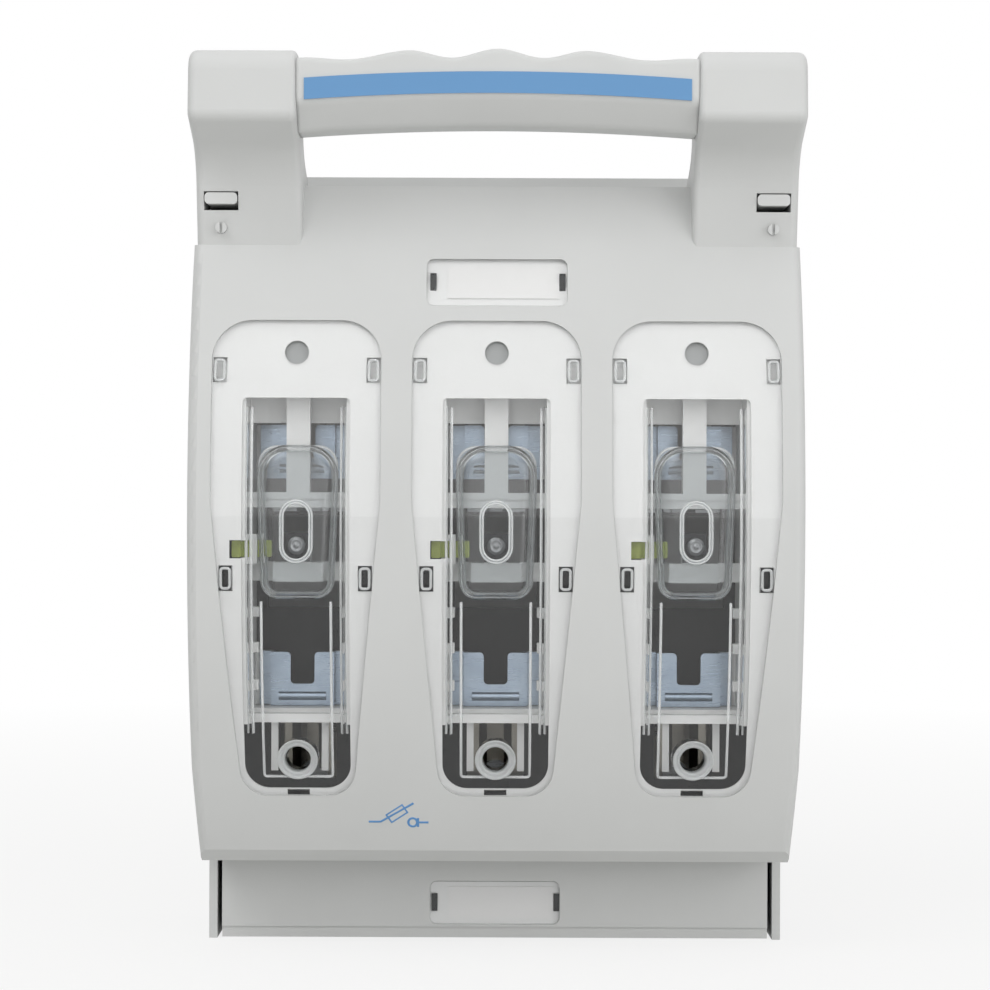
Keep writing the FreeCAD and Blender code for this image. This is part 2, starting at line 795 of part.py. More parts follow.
def foot_label():
    """The lower cover with its recess, card and clear window."""
    cover = terminal_cover("lower", -1)
    height = S.foot_label_height
    floor = BASE_FRONT + S.label_recess
    past = S.label_recess + 1
    recess = rounded_field(S.foot_label_width, S.foot_label_tall, Size.of(0), height, S.label_radius, floor, past)
    keep(cut(cover, recess), "lower_terminal_cover")
    card_x = (S.card_shift - S.card_width / 2, S.card_shift + S.card_width / 2)
    card_z = (height - S.card_height / 2, height + S.card_height / 2)
    keep(box(card_x, (floor - S.card_thickness, floor), card_z), "lower_label_card")
    trim = 2 * S.cover_fit
    back = floor - S.card_thickness - S.pin_clearance
    width, tall = S.foot_label_width - trim, S.foot_label_tall - trim
    pane = rounded_field(width, tall, Size.of(0), height, S.label_radius - S.cover_fit, back, S.label_window)
    feet = []
    half, tall = (S.foot_label_width - trim) / 2, S.label_clip_height / 2
    for side in both(card_x[1] + S.seat_gap, half - S.seat_gap):
        feet.append(box(side, (back, floor - S.pin_clearance), (height - tall, height + tall)))
    keep(fuse(pane, *feet), "lower_label_window")


def hinge_pins():
    """Two steel pins that carry the lid."""
    outer = HALF_LID - S.foot_taper - 0.4
    inner = LUG_SIDE - S.hinge_lug_wall
    for name, way in SIDES:
        ends = span(way * inner, way * outer)
        keep(rod("X", S.hinge_pin_radius, ends[0], ends[1], (-S.hinge_y, -S.hinge_z)), f"hinge_pin_{name}")


def arch(radius):
    """The barrel curve of the lid's front, as a solid bar across the poles."""
    reach = HALF_LID + 10
    return rod("X", radius, -reach, reach, (S.arch_radius - S.lid_front, S.arch_middle))


def skin(outer, inner, *outlines):
    """The layer between two curves of the front, inside each outline."""
    layer = cut(arch(S.arch_radius - outer), arch(S.arch_radius - inner))
    return [common(layer, outline) for outline in outlines]


def matches(corners):
    """A test for edges along Y that start at one of the corners, given in X and Z."""
    spots = [(Size.of(x).value, Size.of(z).value) for x, z in corners]

    def wanted(edge):
        if not along("y", edge):
            return False
        point = edge.Vertexes[0].Point
        return any(near(point.x, x) and near(point.z, z) for x, z in spots)

    return wanted


def cover_outline(fit):
    """The window cover's outline: rounded shoulders, straight flanks and a tapered foot."""
    half, foot = COVER_HALF - fit, COVER_FOOT - fit
    top, bottom = S.cover_top - fit, fit - S.cover_bottom
    points = [(-foot, bottom), (foot, bottom), (half, S.cover_waist), (half, top), (-half, top), (-half, S.cover_waist)]
    blank = prism("Y", points, LID_BACK, S.lid_front)
    shoulders = rounded(blank, S.cover_top_radius - fit, matches([points[3], points[4]]))
    return rounded(shoulders, S.cover_foot_radius - fit, matches([points[0], points[1]]))


def window_outline():
    """The window opening, with the notch where the release slider shows."""
    half = WINDOW_HALF
    points = [(-half, -S.window_bottom), (half, -S.window_bottom), (half, S.window_top), (-half, S.window_top)]
    blank = prism("Y", points, LID_BACK, S.lid_front)
    foot = rounded(blank, S.window_foot_radius, matches(points[:2]))
    top = rounded(foot, S.window_top_radius, matches(points[2:]))
    tall = S.slider_height / 2 + S.seat_gap
    notch = box((-NOTCH_LEFT, -half + 1), (-S.lid_front - 1, LID_BACK), (S.slider_middle - tall, S.slider_middle + tall))
    return fuse(top, notch)


def tab_places():
    """Middle, width and height of the five tabs that clip a window cover in."""
    upper = COVER_HALF - 0.6 - S.tab_width / 2
    taper = (COVER_HALF - COVER_FOOT) / (S.cover_waist + S.cover_bottom)
    lower = upper - (S.cover_waist + S.tab_lower) * taper
    middle = (S.window_bottom + S.cover_bottom) / 2
    return (
        (-upper, S.tab_upper, S.tab_width, S.tab_height),
        (upper, S.tab_upper, S.tab_width, S.tab_height),
        (-lower, -S.tab_lower, S.tab_width, S.tab_height),
        (lower, -S.tab_lower, S.tab_width, S.tab_height),
        (Size.of(0), -middle, S.tab_height - 0.8, S.cover_bottom - S.window_bottom - 1.4),
    )


def tab_blocks(grow):
    blocks = []
    for x, z, width, tall in tab_places():
        half, up = width / 2 + grow, tall / 2 + grow
        blocks.append(box((x - half, x + half), (-S.lid_front - 1, LID_BACK), (z - up, z + up)))
    return blocks


def arch_front(height):
    """How far forward the lid's front stands at a height."""
    rise = height - S.arch_middle
    radius = S.arch_radius
    far = radius - S.lid_front
    value = far.value - math.sqrt(radius.value ** 2 - rise.value ** 2)
    return Size(value, f"({far.text} - sqrt({radius.text} ^ 2 - {rise.text} ^ 2))")


def handle_leg():
    """The right leg of the handle: a flat crown, a fold, and the hollow neck that runs down into the lid."""
    corners = {
        "heel": (LID_BACK, S.lid_top - 2),
        "shoulder": (S.shoulder_setback - HANDLE_BACK, GRIP_BOTTOM - 2),
        "nape": (-HANDLE_BACK, HANDLE_TOP),
        "crown": (S.crown_lean - HANDLE_FRONT, HANDLE_TOP),
        "fold": (-HANDLE_FRONT, HANDLE_FOLD),
        "throat": (-THROAT_FRONT, THROAT_HEIGHT),
        "neck": (arch_front(LEG_FOOT), LEG_FOOT),
        "root": (arch_front(LEG_FOOT) + S.lid_wall / 2, LEG_FOOT - S.lid_wall),
        "base": (LID_BACK, LEG_FOOT - S.lid_wall),
    }

    def at(name):
        y, z = corners[name]

        def wanted(edge):
            point = edge.Vertexes[0].Point
            return along("x", edge) and near(point.y, y.value) and near(point.z, z.value)

        return wanted

    def rim(side):
        def wanted(edge):
            bounds = edge.BoundBox
            on_side = bounds.XLength < 0.01 and near(bounds.XMax, side.value)
            return on_side and bounds.YMin < LID_BACK.value - 10 and bounds.ZMax > LEG_FOOT.value + 1

        return wanted

    leg = prism("X", list(corners.values()), LEG_INNER, LEG_OUTER - LEG_INNER)
    leg = rounded(leg, S.leg_crown_radius, at("nape"))
    leg = rounded(leg, S.leg_crown_radius, at("crown"))
    leg = rounded(leg, S.fold_radius, at("fold"))
    leg = rounded(leg, S.throat_radius, at("throat"))
    leg = rounded(leg, S.shoulder_radius, at("shoulder"))
    leg = rounded(leg, S.leg_edge_radius, rim(LEG_OUTER))
    return rounded(leg, S.leg_inner_radius, rim(LEG_INNER))


def neck_front(leg, height):
    """How far forward the hollow neck of a leg stands at a height."""
    document.recompute()
    middle = (LEG_INNER.value + LEG_OUTER.value) / 2
    level = Part.makeLine(Vector(middle, -200, height.value), Vector(middle, 0, height.value))
    return Size.of(level.common(leg.Shape).BoundBox.YMin)


def lid_outline(wall, shoulder):
    """The lid seen from the front, less a wall: straight flanks, a tapered foot and narrow shoulders in the legs."""
    half = HALF_LID - wall
    foot = HALF_LID - S.foot_taper - wall
    bottom = LID_BOTTOM + wall
    waist = LID_BOTTOM + S.foot_taper_length
    step = LEG_FOOT - wall
    top = S.lid_top - wall
    return [
        (-foot, bottom),
        (foot, bottom),
        (half, waist),
        (half, step),
        (shoulder, step),
        (shoulder, top),
        (-shoulder, top),
        (-shoulder, step),
        (-half, step),
        (-half, waist),
    ]


def hinge_corner(radius):
    """What is taken off the lid's lower back corner so that it can turn about its pins."""
    reach = HALF_LID + 1
    corner = box((-reach, reach), (-S.hinge_y, 1 - S.hinge_y + 20), (LID_BOTTOM - 1, -S.hinge_z))
    return cut(corner, rod("X", radius, -reach, reach, (-S.hinge_y, -S.hinge_z)))


def lid_shell(right):
    """The lid: a barrel-fronted shell with two handle legs, three windows and the label field."""
    wall = S.lid_wall
    outline = lid_outline(Size.of(0), LEG_OUTER - S.lid_edge_radius)
    front = common(prism("Y", outline, LID_BACK, S.lid_front), arch(S.arch_radius))
    front = bevelled(front, S.lid_foot_bevel, foot_edge(LID_BOTTOM))
    front = rounded(front, S.lid_edge_radius, flank_edge)
    left = mirrored(right, Vector(1, 0, 0))
    blank = cut(fuse(front, right, left), hinge_corner(HINGE_ROUND))
    hollow = lid_outline(wall, LEG_OUTER - wall)
    cavity = common(prism("Y", hollow, LID_BACK + 1, S.lid_front), arch(S.arch_radius - wall))
    cavity = bevelled(cavity, S.lid_foot_bevel, foot_edge(LID_BOTTOM + wall))
    cavity = cut(cavity, hinge_corner(HINGE_ROUND - wall))
    taken = [cavity]
    past = -1
    for _, pole_x in POLES:
        recess = skin(Size.of(past), S.cover_recess, cover_outline(Size.of(0)))[0]
        for piece in (recess, window_outline(), fuse(*tab_blocks(S.tab_room))):
            taken.append(moved(piece, pole_x))
        hole = rod("Y", S.probe_hole_radius, -S.lid_front - 1, LID_BACK, (0, S.probe_hole_height))
        taken.append(moved(hole, pole_x))
    field = rounded_field(
        S.lid_label_width, S.lid_label_tall, Size.of(0), S.lid_label_height, S.label_radius, LID_BACK, S.lid_front
    )
    taken.append(skin(Size.of(past), S.label_recess, field)[0])
    for x_way in (-1, 1):
        place = x_way * LOCK_PLACE
        half, tall = S.lock_slot_width / 2, S.lock_slot_height / 2
        face = neck_front(right, LOCK_HEIGHT)
        slot = (face - 6, face + S.lock_slot_depth)
        taken.append(box((place - half, place + half), slot, (LOCK_HEIGHT - tall, LOCK_HEIGHT + tall)))
        bore = S.hinge_pin_radius + S.pin_clearance
        taken.append(rod("X", bore, *span(x_way * LUG_SIDE, x_way * (HALF_LID + 1)), (-S.hinge_y, -S.hinge_z)))
        lug = span(x_way * (LUG_SIDE - S.hinge_lug_wall - S.free_gap), x_way * (LUG_SIDE + S.seat_gap))
        front = -(S.hinge_y + S.hinge_lug_radius + S.free_gap)
        taken.append(box(lug, (front, LID_BACK + 1), (LID_BOTTOM - 1, S.hinge_lug_radius - S.hinge_z)))
        height = LOCK_HEIGHT - S.seal_post_drop
        face = neck_front(right, height)
        socket = (face - 1, face + S.seal_post_root + S.pin_clearance)
        taken.append(rod("Y", S.seal_post_radius + S.pin_clearance, *socket, (place, height)))
    return keep(cut(blank, *taken), "lid_shell")


def flank_edge(edge):
    """The long curved edges down the lid's flanks."""
    bounds = edge.BoundBox
    upright = bounds.XLength < 3 and bounds.YLength > 1 and bounds.ZLength > 20
    return upright and bounds.YMax < LID_BACK.value - 5


def foot_edge(height):
    """The edge where the front meets the underside, which lies at the height."""
    def wanted(edge):
        bounds = edge.BoundBox
        return bounds.XLength > 100 and near(bounds.ZMax, height.value) and bounds.YMax < LID_BACK.value - 10

    return wanted


def moved(thing, x):
    """Puts a piece at its pole."""
    bind(thing, "Placement.Base.x", x)
    return thing


def handle_section(front, back, bottom, top):
    """A cross-section of the grip bar, turned about a far axis so that the bar arches."""
    half = LEG_INNER.value
    rise = S.grip_rise.value
    radius = (half * half + rise * rise) / (2 * rise)
    drawing = document.addObject("Sketcher::SketchObject", "Section")
    drawing.Placement = Placement(Vector(), TURNS["X"])
    closed_outline(drawing, [(-front, bottom), (-back, bottom), (-back, top), (-front, top)])
    turned = document.addObject("Part::Revolution", "Arched")
    turned.Source = drawing
    turned.Axis = Vector(0, 1, 0)
    turned.Base = Vector(0, 0, (HANDLE_TOP + S.grip_rise / 2).value - radius)
    turned.Angle = 2 * math.degrees(math.asin((half + 2) / radius))
    turned.Symmetric = True
    turned.Solid = True
    return turned


def handle_grip():
    """The grip bar between the legs: arched, soft edged, with finger scallops on top."""
    top = HANDLE_TOP + S.grip_rise / 2 - S.grip_drop
    bar = handle_section(GRIP_FRONT, GRIP_BACK, GRIP_BOTTOM + S.grip_rise, top)
    sides = LEG_INNER - S.pin_clearance
    trimmed = common(bar, box((-sides, sides), (-GRIP_FRONT - 1, 1 - GRIP_BACK), (GRIP_BOTTOM - 5, top + 5)))

    def lower_front(edge):
        bounds = edge.BoundBox
        return bounds.XLength > 90 and near(bounds.YMin, -GRIP_FRONT.value) and bounds.ZMax < GRIP_BOTTOM.value + 8

    slope = bevelled(trimmed, S.grip_slope, lower_front)
    soft = rounded(slope, S.grip_edge_radius, lambda edge: edge.BoundBox.XLength > 90)
    dips = []
    for number in (-1.5, -0.5, 0.5, 1.5):
        place = (S.scallop_pitch * number, top + S.scallop_radius - S.scallop_depth)
        dips.append(rod("Y", S.scallop_radius, -GRIP_FRONT - 1, 1 - GRIP_BACK, place))
    keep(cut(soft, *dips), "handle_grip")
    bottom = STRIP_BOTTOM + S.grip_rise / 2
    strip = handle_section(GRIP_FRONT + S.strip_thickness, GRIP_FRONT, bottom, bottom + S.strip_height)
    edge = LEG_INNER - S.strip_margin
    keep(common(strip, box((-edge, edge), (-GRIP_FRONT - 1, 1 - GRIP_FRONT), (GRIP_BOTTOM, top))), "handle_strip")


def window_cover(pole, pole_x):
    """A clear cover that follows the barrel curve, with clip tabs, ribs and a probe tube."""
    solids = skin(Size.of(0), S.cover_thickness, cover_outline(S.cover_fit))
    solids += skin(Size.of(0), S.tab_depth, *tab_blocks(Size.of(0)))
    depth = (-S.lid_front - 1, LID_BACK)
    ribs = [box(side, depth, (-S.rib_bottom, S.rib_top)) for side in both(RIB_PLACE, RIB_PLACE + S.rib_thickness)]
    solids += skin(Size.of(0), S.rib_depth, *ribs)
    place = (0, -S.probe_tube_height)
    solids += skin(Size.of(0), S.probe_tube_depth, rod("Y", S.probe_tube_radius, depth[0], depth[1], place))
    hole = rod("Y", S.probe_hole_radius, depth[0], depth[1], (0, S.probe_hole_height))
    bore = rod("Y", S.probe_tube_bore, depth[0], depth[1], place)
    face = arch_front(-S.probe_tube_height)
    mouth = funnel(S.probe_funnel_radius, S.probe_tube_bore, face - 2, face + S.probe_funnel_depth, place)
    return keep(cut(fuse(*solids), hole, bore, mouth), f"window_cover_{pole}", pole_x)


def fuse_carrier(pole, pole_x):
    """The moulded frame behind a window: rails, spine, cross bars, seats for the lug clips and the probe fork."""
    back = -CARRIER_BACK
    rail = (RAIL_INNER, RAIL_INNER + S.rail_thickness)
    inner = RAIL_INNER + 0.5
    front = -S.lid_front
    pieces = [box(side, (front, back), (-S.rail_bottom, S.rail_top)) for side in both(*rail)]
    pieces.append(box((-rail[1], rail[1]), (front, -BAR_BACK + 4), (S.window_top + 1.5, S.rail_top)))
    head = (S.clip_upper_top + S.seat_gap, S.rail_top)
    pieces.append(box((-inner, inner), (-BAR_BACK + 3, -BAR_BACK + 6), head))
    spine = S.spine_width / 2
    bar = (-BAR_FRONT, -BAR_BACK)
    cross = (S.cross_bar_top - S.cross_bar_height, S.cross_bar_top)
    pieces.append(box((-spine, spine), bar, (cross[0], S.rail_top)))
    pieces.append(box((-inner, inner), bar, cross))
    block = S.block_width / 2
    pieces.append(box((-block, block), (-BAR_FRONT, -BAR_BACK + 6), (S.block_bottom, S.block_top)))
    pieces.append(box((-inner, inner), (-BAR_BACK + 4, -BAR_BACK + 6), (S.block_bottom, S.block_top)))
    boss = S.spine_width / 2
    pieces.append(box((-boss, boss), (-BAR_FRONT, -BAR_BACK + 6), (S.block_bottom + 2, S.stud_height + 3.4)))
    seat = -CLIP_FRONT + S.clip_depth
    wing = (WING_REACH - 4, inner)
    for top in (S.clip_upper_top, S.clip_lower_top):
        for side in both(*wing):
            pieces.append(box(side, (seat, back), (top - S.clip_height, top)))
    shelf_top = S.clip_lower_top - S.clip_height - S.seat_gap
    shelf = (shelf_top - S.shelf_height, shelf_top)
    pieces.append(box((-inner, inner), (-SHELF_FRONT, back), shelf))
    foot_bar_top = shelf[0] + S.foot_bar_lift
    foot_bar = (foot_bar_top - S.foot_bar_height, foot_bar_top)
    pieces.append(box((-inner, inner), (-FOOT_BAR_FRONT, -SHELF_FRONT + 2), foot_bar))
    leg = (S.carrier_leg_place - S.carrier_leg_width / 2, S.carrier_leg_place + S.carrier_leg_width / 2)
    for side in both(*leg):
        pieces.append(box(side, (-FOOT_BAR_FRONT + 4, -SHELF_FRONT), (-S.carrier_leg_bottom, foot_bar[1])))
    middle = S.slider_middle
    half = S.slider_block_height / 2
    deep = (-SLIDER_FRONT - 2, 4 - SLIDER_FRONT)
    pieces.append(box((-inner, -CAP_HALF), deep, (middle - half, middle + half)))
    limit = arch(S.arch_radius - S.lid_wall - S.seat_gap)
    frame = common(fuse(*pieces), limit)
    tall = S.slider_height / 2 + S.pin_clearance * 2
    slot_y = (-SLIDER_FRONT - S.pin_clearance * 2, -SLIDER_FRONT + S.slider_thickness + S.pin_clearance * 2)
    slot = box((-RAIL_INNER - 4, 1 - CAP_HALF), slot_y, (middle - tall, middle + tall))
    mouth = box((-RAIL_INNER - 4, -S.slider_block_start), (-S.lid_front, slot_y[1]), (middle - tall, middle + tall))
    groove_y = (-BAR_FRONT - 1, -BAR_FRONT + S.cross_bar_groove)
    groove_z = S.cross_bar_top - S.cross_bar_height / 2
    groove = box((-RAIL_INNER + 1, RAIL_INNER - 1), groove_y, (groove_z - 0.3, groove_z + 0.3))
    return keep(cut(frame, slot, mouth, groove), f"fuse_carrier_{pole}", pole_x)


def lug_clip(name, pole, pole_x, top):
    """A zinc-plated clip folded to a hat section, with a notch for the fuse lug and a pressed bead."""
    front, back = -CLIP_FRONT, -CLIP_FRONT + S.clip_depth
    half, reach, metal = CLIP_HALF, WING_REACH, S.sheet
    outline = [
        (-half, front),
        (half, front),
        (half, back - metal),
        (reach, back - metal),
        (reach, back),
        (half - metal, back),
        (half - metal, front + metal),
        (metal - half, front + metal),
        (metal - half, back),
        (-reach, back),
        (-reach, back - metal),
        (-half, back - metal),
    ]
    folded = prism("Z", outline, top - S.clip_height, S.clip_height)
    notch = S.clip_notch_width / 2
    gap = box((-notch, notch), (front - 1, front + metal + 1), (top - S.clip_notch_depth, top + 1))
    foot = top - S.clip_notch_depth
    sheet_clip = rounded(cut(folded, gap), S.clip_corner_radius, prong_edge(notch, top, foot))
    rib_wide = S.clip_rib_width / 2
    place = (front - S.clip_rib_proud + S.clip_rib_radius, top - S.clip_height + S.clip_rib_lift)
    bead = rod("X", S.clip_rib_radius, -rib_wide, rib_wide, place)
    face = box((-half, half), (front - S.clip_rib_radius, front + metal), (top - S.clip_height, top))
    return keep(fuse(sheet_clip, common(bead, face)), f"{name}_lug_clip_{pole}", pole_x)


def prong_edge(notch, top, foot):
    """A test for the short edges at the tips and the root of a clip's notch."""
    def wanted(edge):
        if not along("y", edge):
            return False
        point = edge.Vertexes[0].Point
        return near(abs(point.x), notch.value) and (near(point.z, top.value) or near(point.z, foot.value))

    return wanted


def fuse_grip(pole, pole_x):
    """The clear cap over the fuse's grip: a rounded dome with a raised track round its slot."""
    def outline(inset, back, length):
        half, foot = CAP_HALF - inset, CAP_FOOT - inset
        top, bottom = S.grip_cap_top - inset, S.grip_cap_bottom + inset
        shoulder = S.grip_cap_shoulder
        points = [(-foot, bottom), (foot, bottom), (half, shoulder), (half, top), (-half, top), (-half, shoulder)]
        blank = prism("Y", points, back, length)
        crown = rounded(blank, S.grip_cap_top_radius - inset, matches([points[3], points[4]]))
        return rounded(crown, S.grip_cap_foot_radius - inset, matches([points[0], points[1]]))

    depth = CAP_FRONT - CAP_BACK
    wall = S.grip_cap_wall
    outside = outline(Size.of(0), -CAP_BACK, depth)
    front = -CAP_FRONT

    def front_edge(edge):
        return edge.BoundBox.YLength < 0.01 and near(edge.BoundBox.YMin, front.value)

    dome = rounded(outside, S.grip_cap_round, front_edge)
    inner_front = front + wall

    def inner_edge(edge):
        return edge.BoundBox.YLength < 0.01 and near(edge.BoundBox.YMin, inner_front.value)

    inside = rounded(outline(wall, 1 - CAP_BACK, depth - wall + 1), S.grip_cap_round - wall, inner_edge)

    def track(grow, back, length):
        half = S.track_half_width + grow
        low, high = S.track_bottom - grow, S.track_top + grow
        points = [(-half, low), (half, low), (half, high), (-half, high)]
        return rounded(prism("Y", points, back, length), half - 0.05, matches(points))

    ring = track(Size.of(0), front + wall / 2, wall / 2 + S.track_proud)
    slot = track(-S.track_wall, front + wall + 1, wall + S.track_proud + 2)
    return keep(cut(fuse(cut(dome, inside), ring), slot), f"fuse_grip_{pole}", pole_x)


def grip_studs():
    """The metal studs in the grips' slots, one for each pole."""
    def front_rim(edge):
        return edge.BoundBox.YLength < 0.01 and near(edge.BoundBox.YMin, 1 - CAP_FRONT.value)

    studs = []
    for _, pole_x in POLES:
        place = (pole_x, S.stud_height)
        head = rounded(rod("Y", S.stud_radius, -CAP_FRONT + 1, -CAP_FRONT + 3, place), S.stud_round, front_rim)
        shank = rod("Y", S.stud_shank_radius, -CAP_FRONT + 2, -BAR_FRONT, place)
        studs.append(fuse(head, shank))
    return keep(group(studs), "grip_studs")


def release_slider(pole, pole_x):
    """The yellow-green slider that lets a fuse go."""
    half = S.slider_height / 2
    deep = (-SLIDER_FRONT, S.slider_thickness - SLIDER_FRONT)
    height = (S.slider_middle - half, S.slider_middle + half)
    bar = box((-SLIDER_LEFT, -SLIDER_RIGHT), deep, height)
    head = box((-SLIDER_LEFT, S.slider_head_width - SLIDER_LEFT), (deep[0] - S.slider_head_rise, deep[1]), height)
    slider = rounded(fuse(bar, head), S.slider_corner_radius, lambda edge: along("y", edge))
    return keep(slider, f"release_slider_{pole}", pole_x)


def lid_label():
    """The card and clear window in the lid's label field."""
    trim = 2 * S.cover_fit
    field = rounded_field(
        S.lid_label_width - trim, S.lid_label_tall - trim, Size.of(0), S.lid_label_height,
        S.label_radius - S.cover_fit, LID_BACK, S.lid_front
    )
    floor = S.label_recess - S.pin_clearance
    card_x = (S.card_shift - S.card_width / 2, S.card_shift + S.card_width / 2)
    card_z = (S.lid_label_height - S.card_height / 2, S.lid_label_height + S.card_height / 2)
    paper = box(card_x, (-S.lid_front - 1, LID_BACK), card_z)
    keep(skin(floor - S.card_thickness, floor, paper)[0], "lid_label_card")
    pane_back = floor - S.card_thickness - S.pin_clearance
    solids = skin(pane_back - S.label_window, pane_back, field)
    half = (S.lid_label_width - trim) / 2
    tall = S.label_clip_height / 2
    feet = []
    for side in both(card_x[1] + S.seat_gap, half - S.seat_gap):
        feet.append(box(side, (-S.lid_front - 1, LID_BACK), (S.lid_label_height - tall, S.lid_label_height + tall)))
    solids += skin(pane_back - 0.5, floor, *feet)
    keep(fuse(*solids), "lid_label_window")


def probe_shutters():
    """Grey discs behind the upper probe holes."""
    discs = []
    for _, pole_x in POLES:
        blank = rod("Y", S.shutter_radius, -S.lid_front - 1, LID_BACK, (pole_x, S.probe_hole_height))
        near_face = S.lid_wall + S.seat_gap
        discs += skin(near_face, near_face + S.shutter_thickness, blank)
    return keep(group(discs), "probe_shutters")


def lock_tongues(leg):
    """The padlock tongues that slide in the slots of the handle legs."""
    face = neck_front(leg, LOCK_HEIGHT)
    for name, way in SIDES:
        half, tall = S.lock_tongue_width / 2, S.lock_tongue_height / 2
        place = way * LOCK_PLACE
        deep = (face - S.lock_proud + 2, face + S.lock_slot_depth - 1)
        height = LOCK_HEIGHT + S.lock_tongue_rise
        bar = box((place - half, place + half), deep, (height - tall, height + tall))
        keep(rounded(bar, S.lock_tongue_radius, lambda edge: along("y", edge)), f"lock_tongue_{name}")


def seal_posts(leg):
    """Small slotted posts for a sealing wire, below the locks."""
    posts = []
    height = LOCK_HEIGHT - S.seal_post_drop
    face = neck_front(leg, height)
    for _, way in SIDES:
        place = (way * LOCK_PLACE, height)
        post = rod("Y", S.seal_post_radius, face - S.seal_post_length / 2, face + S.seal_post_root, place)
        slit = box((place[0] - 0.4, place[0] + 0.4), (face - S.seal_post_length, face - 0.6), (height - 3, height + 3))
        posts.append(cut(post, slit))
    return keep(group(posts), "seal_posts")


def build():
    base_housing()
    for name, way, jaw, terminal, end in contact_rows():
        for pole, pole_x in POLES:
            contact(name, pole, pole_x, way, jaw, terminal, end)
        contact_springs(name, jaw)
    terminal_hardware()
    for pole, pole_x in POLES:
        arc_chutes(pole, pole_x)
    contact_shroud()
    keep(terminal_cover("upper", 1), "upper_terminal_cover")
    foot_label()
    hinge_pins()
    leg = handle_leg()
    lid_shell(leg)
    handle_grip()
    for pole, pole_x in POLES:
        window_cover(pole, pole_x)
        fuse_carrier(pole, pole_x)
        lug_clip("upper", pole, pole_x, S.clip_upper_top)
        lug_clip("lower", pole, pole_x, S.clip_lower_top)
        fuse_grip(pole, pole_x)
        release_slider(pole, pole_x)
    grip_studs()
    lid_label()
    probe_shutters()
    lock_tongues(leg)
    seal_posts(leg)
    document.recompute()


def check():
    """Stops if any object failed or any piece has no sound shape."""
    for thing in document.Objects:
        if "Invalid" in thing.State or "Error" in thing.State:
            raise RuntimeError(f"{thing.Name} ({thing.Label}) is {thing.State}")
    for piece in PARTS:
        if piece.Shape.isNull() or not piece.Shape.isValid() or not piece.Shape.Solids:
            raise RuntimeError(f"{piece.Label} has no sound shape")


build()
check()
os.makedirs("parts", exist_ok=True)
for piece in PARTS:
    piece.Shape.exportStep(f"parts/{piece.Label}.step")
print(len(PARTS), "pieces written")
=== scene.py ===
"""Looks of a three-pole fuse switch disconnector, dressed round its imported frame.

Lengths are in metres in the part's own frame: +X across the poles, +Z up, and the front looks along -Y.
Sizes that are written in millimetres carry the factor MM.
"""

import json
import logging
import math
from abc import ABC, abstractmethod
from dataclasses import dataclass, field
from enum import Enum
from typing import Union

import bmesh
import bpy
from mathutils import Matrix, Vector


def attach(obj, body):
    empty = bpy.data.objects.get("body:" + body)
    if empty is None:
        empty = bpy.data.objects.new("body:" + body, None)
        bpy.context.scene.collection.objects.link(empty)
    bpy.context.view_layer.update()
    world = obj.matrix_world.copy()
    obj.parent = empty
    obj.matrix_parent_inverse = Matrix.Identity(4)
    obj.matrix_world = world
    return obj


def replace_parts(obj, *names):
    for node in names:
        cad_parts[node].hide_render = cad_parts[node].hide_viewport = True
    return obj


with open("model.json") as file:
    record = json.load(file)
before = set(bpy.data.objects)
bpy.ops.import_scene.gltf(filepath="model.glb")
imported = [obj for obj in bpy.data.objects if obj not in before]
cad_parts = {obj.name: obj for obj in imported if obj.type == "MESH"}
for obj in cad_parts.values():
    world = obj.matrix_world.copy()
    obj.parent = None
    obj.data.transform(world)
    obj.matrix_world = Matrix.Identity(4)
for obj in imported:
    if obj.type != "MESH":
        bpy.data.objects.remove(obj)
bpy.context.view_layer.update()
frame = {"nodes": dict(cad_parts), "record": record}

LOG = logging.getLogger("disconnector")
MM = 0.001
POLE_PLACES = {"1": -59.7 * MM, "2": 0.0, "3": 59.7 * MM}

Value = Union[float, tuple, bpy.types.NodeSocket]
# A path's points, and whether it is closed
Path = tuple[list[Vector], bool]
# Pairs of lengths in millimetres
Profile = tuple[tuple[float, float], ...]


def linear(code: str) -> tuple[float, float, float, float]:
    """Turns an sRGB hex value to the linear colour that a shader takes.

    Args:
        code: Six hex digits.

    Returns:
        Linear red, green and blue, and an alpha of 1.
    """
    channels = [int(code[place:place + 2], 16) / 255 for place in (0, 2, 4)]
    bright = [((c + 0.055) / 1.055) ** 2.4 if c > 0.04045 else c / 12.92 for c in channels]
    return (*bright, 1.0)


def add_node(
    tree: bpy.types.NodeTree,
    kind: str,
    inputs: dict[str | int, Value] | None = None,
    **settings: object,
) -> bpy.types.Node:
    """Adds a node with its settings, and fills or links its inputs.

    Args:
        tree: The node tree that gets the node.
        kind: The node's type name.
        inputs: Values or output sockets by the name or number of the input.
        **settings: Properties of the node itself.

    Returns:
        The new node.
    """
    node = tree.nodes.new(kind)
    for name, setting in settings.items():
        setattr(node, name, setting)
    for name, value in (inputs or {}).items():
        socket = node.inputs[name]
        if isinstance(value, bpy.types.NodeSocket):
            tree.links.new(value, socket)
        else:
            socket.default_value = value
    return node


def blank_material(name: str) -> tuple[bpy.types.Material, bpy.types.NodeTree, bpy.types.NodeSocket]:
    """Starts a material with only its output and the object's own coordinates.

    Args:
        name: The material's name.

    Returns:
        The material, its node tree and the socket with the object coordinates.
    """
    material = bpy.data.materials.new(name)
    material.use_nodes = True
    tree = material.node_tree
    tree.nodes.clear()
    place = add_node(tree, "ShaderNodeTexCoord").outputs["Object"]
    return material, tree, place


def finish_with(tree: bpy.types.NodeTree, shader: bpy.types.NodeSocket) -> None:
    """Links a shader to a new material output."""
    add_node(tree, "ShaderNodeOutputMaterial", {"Surface": shader})


